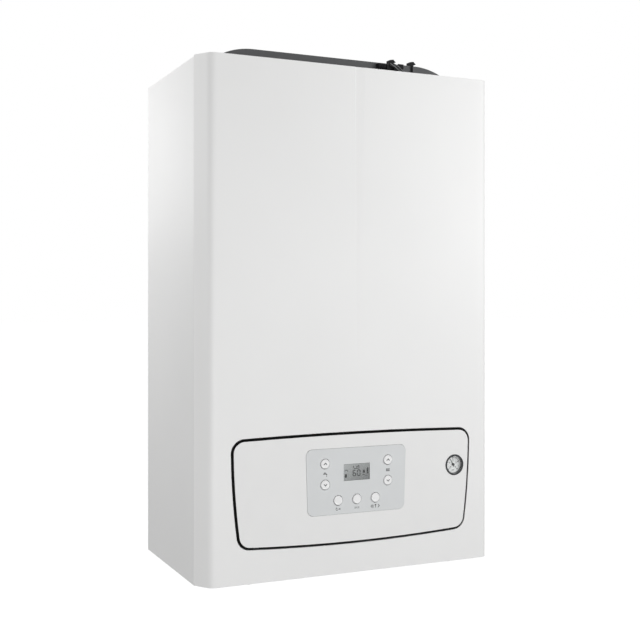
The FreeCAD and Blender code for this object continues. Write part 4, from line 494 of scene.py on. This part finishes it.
def display_figures():
    """Two seven-segment digits between plain status symbols."""
    x, z = centre_of("display_lens")
    glass = Mark(x, z)
    for shift, dark in ((-3.3, ("high_right",)), (3.3, ("middle",))):
        for name, ends in SEGMENTS.items():
            if name not in dark:
                glass.stroke([(u * 1.1 + shift, v * 1.25 - 1.6) for u, v in ends], 1.25)
    glass.stroke([(-4.2, 4.5), (4.2, 4.5)], 0.9)
    for u in (-4.6, 0.4, 3.6):
        glass.stroke([(u, 5.4), (u, 8.0)], 1.0)
    glass.stroke([(0.4, 6.6), (3.6, 8.2)], 0.9)
    glass.patch([(-17.6, -7.0), (-14.4, -7.0), (-14.4, -2.4), (-17.6, -2.4)])
    glass.arc((-15.6, 0.6), 2.4, -70, 80, 0.8)
    glass.patch([(9.4, 0.4), (11.2, 2.6), (12.8, 0.4), (12.2, -2.4), (9.8, -2.4)])
    glass.patch([(15.4, -3.4), (17.6, -3.4), (17.6, 3.4), (16.4, 5.4), (15.4, 3.4)])
    glass.stroke([(9.0, -4.6), (13.0, -4.6)], 0.7)
    glass.stroke([(13.4, -6.2), (16.0, -6.2)], 0.8)
    glass.build("display_figures", "panel", front_of("display_module"), INK_BLACK, 0.05)


# The dial's scale, in millimetres and in degrees clockwise from the top; each tick has an inner radius and a width
DIAL_START, DIAL_SWEEP = -135, 270
DIAL_STEPS = 40
TICK_OUTER = 10.6
LONG_TICK, MIDDLE_TICK, SHORT_TICK = (7.9, 0.95), (8.9, 0.5), (9.7, 0.28)
NUMBER_RADIUS = 5.7
NUMBER_SIZE = 4.2
NUMBER_RAISE = 0.03


def dial_marks():
    """Ticks and numbers of a pressure scale from 0 to 4 over three quarters of a turn."""
    x, z = centre_of("gauge_dial")
    depth = front_of("gauge_dial")
    scale = Mark(x, z)
    for step in range(DIAL_STEPS + 1):
        t = math.radians(DIAL_START + DIAL_SWEEP * step / DIAL_STEPS)
        inner, wide = LONG_TICK if step % 10 == 0 else MIDDLE_TICK if step % 5 == 0 else SHORT_TICK
        ends = [(radius * math.sin(t), radius * math.cos(t)) for radius in (inner, TICK_OUTER)]
        scale.stroke(ends, wide)
    scale.arc((0, 0), 10.7, DIAL_START, DIAL_START + DIAL_SWEEP, 0.3, 48)
    scale.stroke([(-2.2, -8.0), (2.2, -8.0)], 0.7)
    scale.build("dial_scale", "panel", depth, INK_BLACK, 0.05)
    for number in range(5):
        t = math.radians(DIAL_START + DIAL_SWEEP * number / 4)
        curve = bpy.data.curves.new(f"dial_number_{number}", "FONT")
        curve.body = str(number)
        curve.size = NUMBER_SIZE * MM
        curve.align_x = "CENTER"
        curve.align_y = "CENTER"
        curve.extrude = NUMBER_RAISE * MM
        made = bpy.data.objects.new(f"dial_text_{number}", curve)
        bpy.context.scene.collection.objects.link(made)
        made.rotation_euler = (math.pi / 2, 0, 0)
        reach = NUMBER_RADIUS * MM
        made.location = (x + reach * math.sin(t), -depth - NUMBER_RAISE * MM, z + reach * math.cos(t))
        bpy.context.view_layer.update()
        data = bpy.data.meshes.new_from_object(made.evaluated_get(bpy.context.evaluated_depsgraph_get()))
        data.transform(made.matrix_world)
        bpy.data.objects.remove(made)
        piece = bpy.data.objects.new(f"dial_number_{number}", data)
        bpy.context.scene.collection.objects.link(piece)
        data.materials.clear()
        data.materials.append(INK_BLACK)
        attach(piece, "panel")


# The ribbed sleeve on the hood
SLEEVE_RINGS, SLEEVE_SIDES = 12, 24
RIB_RADIUS, GROOVE_RADIUS = 4.6, 3.7


def hood_fittings():
    """Small fittings beside the hood's ring clip: a ribbed sleeve, two slanted straps, a latch and a post."""
    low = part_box("hood_hooks")[0]
    strap_face = -low.y - 4 * MM
    sleeve = bmesh.new()
    rings = []
    turn = [2 * math.pi * i / SLEEVE_SIDES for i in range(SLEEVE_SIDES)]
    for step in range(SLEEVE_RINGS):
        radius = (RIB_RADIUS if step % 3 else GROOVE_RADIUS) * MM
        across, middle = low.x + (1 + step) * MM, low.z + 8 * MM
        circle = [(across, -strap_face + radius * math.cos(t), middle + radius * math.sin(t)) for t in turn]
        rings.append([sleeve.verts.new(point) for point in circle])
    for a, b in zip(rings, rings[1:]):
        for i in range(SLEEVE_SIDES):
            sleeve.faces.new([a[i], a[i - 1], b[i - 1], b[i]])
    sleeve.faces.new(rings[0])
    sleeve.faces.new(rings[-1])
    as_piece(sleeve, "hood_sleeve", "chassis", HOOK_BLACK)
    straps = Mark(low.x, low.z)
    straps.stroke([(19, 12.5), (27, 8.5), (36, 2.0)], 1.6)
    straps.stroke([(25, 12.5), (32, 9.5), (40, 3.5)], 1.4)
    straps.build("hood_straps", "chassis", strap_face, CLIP_GREY, 4.6)
    latch = Mark(low.x, low.z)
    latch.patch([(33, 9.5), (41.5, 7.5), (41.5, 13.5), (33, 13.5)])
    latch.build("hood_latch", "chassis", strap_face, HOOK_BLACK, 2.4)
    wall = -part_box("top_hood")[0].y
    post = Mark(low.x, low.z)
    post.patch([(57.0, 0), (59.5, 0), (59.5, 14), (57.0, 14)])
    post.build("hood_post", "chassis", wall, HOOK_BLACK, 2.2)
    edge = Mark(low.x, low.z)
    edge.patch([(60.1, 0), (61.1, 0), (61.1, 13.6), (60.1, 13.6)])
    edge.build("hood_edge", "chassis", wall, CLIP_GREY, 1.2)


button_marks()
keypad_marks()
display_figures()
dial_marks()
hood_fittings()


# Floor, light and camera


FLOOR_REACH = 40.0
FLOOR_LEVEL = -0.32
FLOOR_MATT = (0.4, 0.4, 0.4, 1)  # what lights the casing from below
FLOOR_SEEN = (0.9, 0.9, 0.9, 1)  # what the camera sees, with the shadow in it
FLOOR_GLOW = 0.69  # brings what the camera sees up to white


def floor():
    """A pale floor well below the hanging casing: white to the camera, but it keeps the shadow."""
    mesh = bpy.data.meshes.new("floor")
    corners = [(x * FLOOR_REACH, y * FLOOR_REACH, FLOOR_LEVEL) for x, y in ((-1, -1), (1, -1), (1, 1), (-1, 1))]
    mesh.from_pydata(corners, [], [(0, 1, 2, 3)])
    made = bpy.data.objects.new("floor", mesh)
    bpy.context.scene.collection.objects.link(made)
    material = bpy.data.materials.new("pale_floor")
    material.use_nodes = True
    tree = material.node_tree
    tree.nodes.clear()
    out = tree.nodes.new("ShaderNodeOutputMaterial")
    matt = tree.nodes.new("ShaderNodeBsdfDiffuse")
    matt.inputs["Color"].default_value = FLOOR_MATT
    seen = tree.nodes.new("ShaderNodeBsdfDiffuse")
    seen.inputs["Color"].default_value = FLOOR_SEEN
    glow = tree.nodes.new("ShaderNodeEmission")
    glow.inputs["Strength"].default_value = FLOOR_GLOW
    both = tree.nodes.new("ShaderNodeAddShader")
    mix = tree.nodes.new("ShaderNodeMixShader")
    tree.links.new(seen.outputs["BSDF"], both.inputs[0])
    tree.links.new(glow.outputs["Emission"], both.inputs[1])
    tree.links.new(white_rays(tree), mix.inputs["Fac"])
    tree.links.new(matt.outputs["BSDF"], mix.inputs[1])
    tree.links.new(both.outputs["Shader"], mix.inputs[2])
    tree.links.new(mix.outputs["Shader"], out.inputs["Surface"])
    mesh.materials.append(material)


def white_rays(tree):
    """1 for camera, glossy and transmission rays."""
    path = tree.nodes.new("ShaderNodeLightPath")
    most = path.outputs["Is Camera Ray"]
    for name in ("Is Glossy Ray", "Is Transmission Ray"):
        larger = tree.nodes.new("ShaderNodeMath")
        larger.operation = "MAXIMUM"
        tree.links.new(most, larger.inputs[0])
        tree.links.new(path.outputs[name], larger.inputs[1])
        most = larger.outputs["Value"]
    return most


def world(strength):
    """Even light of that strength, in front of a plain white background."""
    made = bpy.data.worlds.new("studio")
    made.use_nodes = True
    tree = made.node_tree
    tree.nodes.clear()
    out = tree.nodes.new("ShaderNodeOutputWorld")
    light = tree.nodes.new("ShaderNodeBackground")
    light.inputs["Color"].default_value = (1, 1, 1, 1)
    light.inputs["Strength"].default_value = strength
    white = tree.nodes.new("ShaderNodeBackground")
    white.inputs["Color"].default_value = (1, 1, 1, 1)
    white.inputs["Strength"].default_value = 1.0
    mix = tree.nodes.new("ShaderNodeMixShader")
    tree.links.new(white_rays(tree), mix.inputs["Fac"])
    tree.links.new(light.outputs["Background"], mix.inputs[1])
    tree.links.new(white.outputs["Background"], mix.inputs[2])
    tree.links.new(mix.outputs["Shader"], out.inputs["Surface"])
    bpy.context.scene.world = made


def softbox(name, place, target, wide, power):
    """A square lamp of that width that faces a point."""
    lamp = bpy.data.lights.new(name, "AREA")
    lamp.size = wide
    lamp.energy = power
    made = bpy.data.objects.new(name, lamp)
    made.location = place
    made.rotation_euler = (Vector(target) - Vector(place)).to_track_quat("-Z", "Y").to_euler()
    bpy.context.scene.collection.objects.link(made)


def camera():
    """The photo's viewpoint, fitted to the casing's corners in it."""
    data = bpy.data.cameras.new("camera")
    data.sensor_width = 36
    data.lens = 59.085
    data.shift_y = -0.0231
    data.clip_end = 200
    made = bpy.data.objects.new("camera", data)
    made.location = (-0.6312, -1.5111, 0.3591)
    made.rotation_euler = (math.pi / 2, 0, -math.radians(24.52))
    bpy.context.scene.collection.objects.link(made)
    bpy.context.scene.camera = made


floor()
world(0.35)
softbox("key", place=(0.84, -0.9, 0.62), target=(0.1, -0.2, 0.38), wide=0.6, power=4.85)
softbox("fill", place=(-0.8, -2.1, 0.1), target=(-0.1, -0.2, 0.3), wide=1.2, power=19.5)
softbox("side", place=(-0.76, 0.18, 0.74), target=(-0.22, -0.1, 0.5), wide=0.4, power=2.15)
softbox("back", place=(-0.55, 0.8, 0.66), target=(-0.22, -0.15, 0.5), wide=0.3, power=0.42)
camera()
bpy.context.scene.view_settings.view_transform = "Standard"
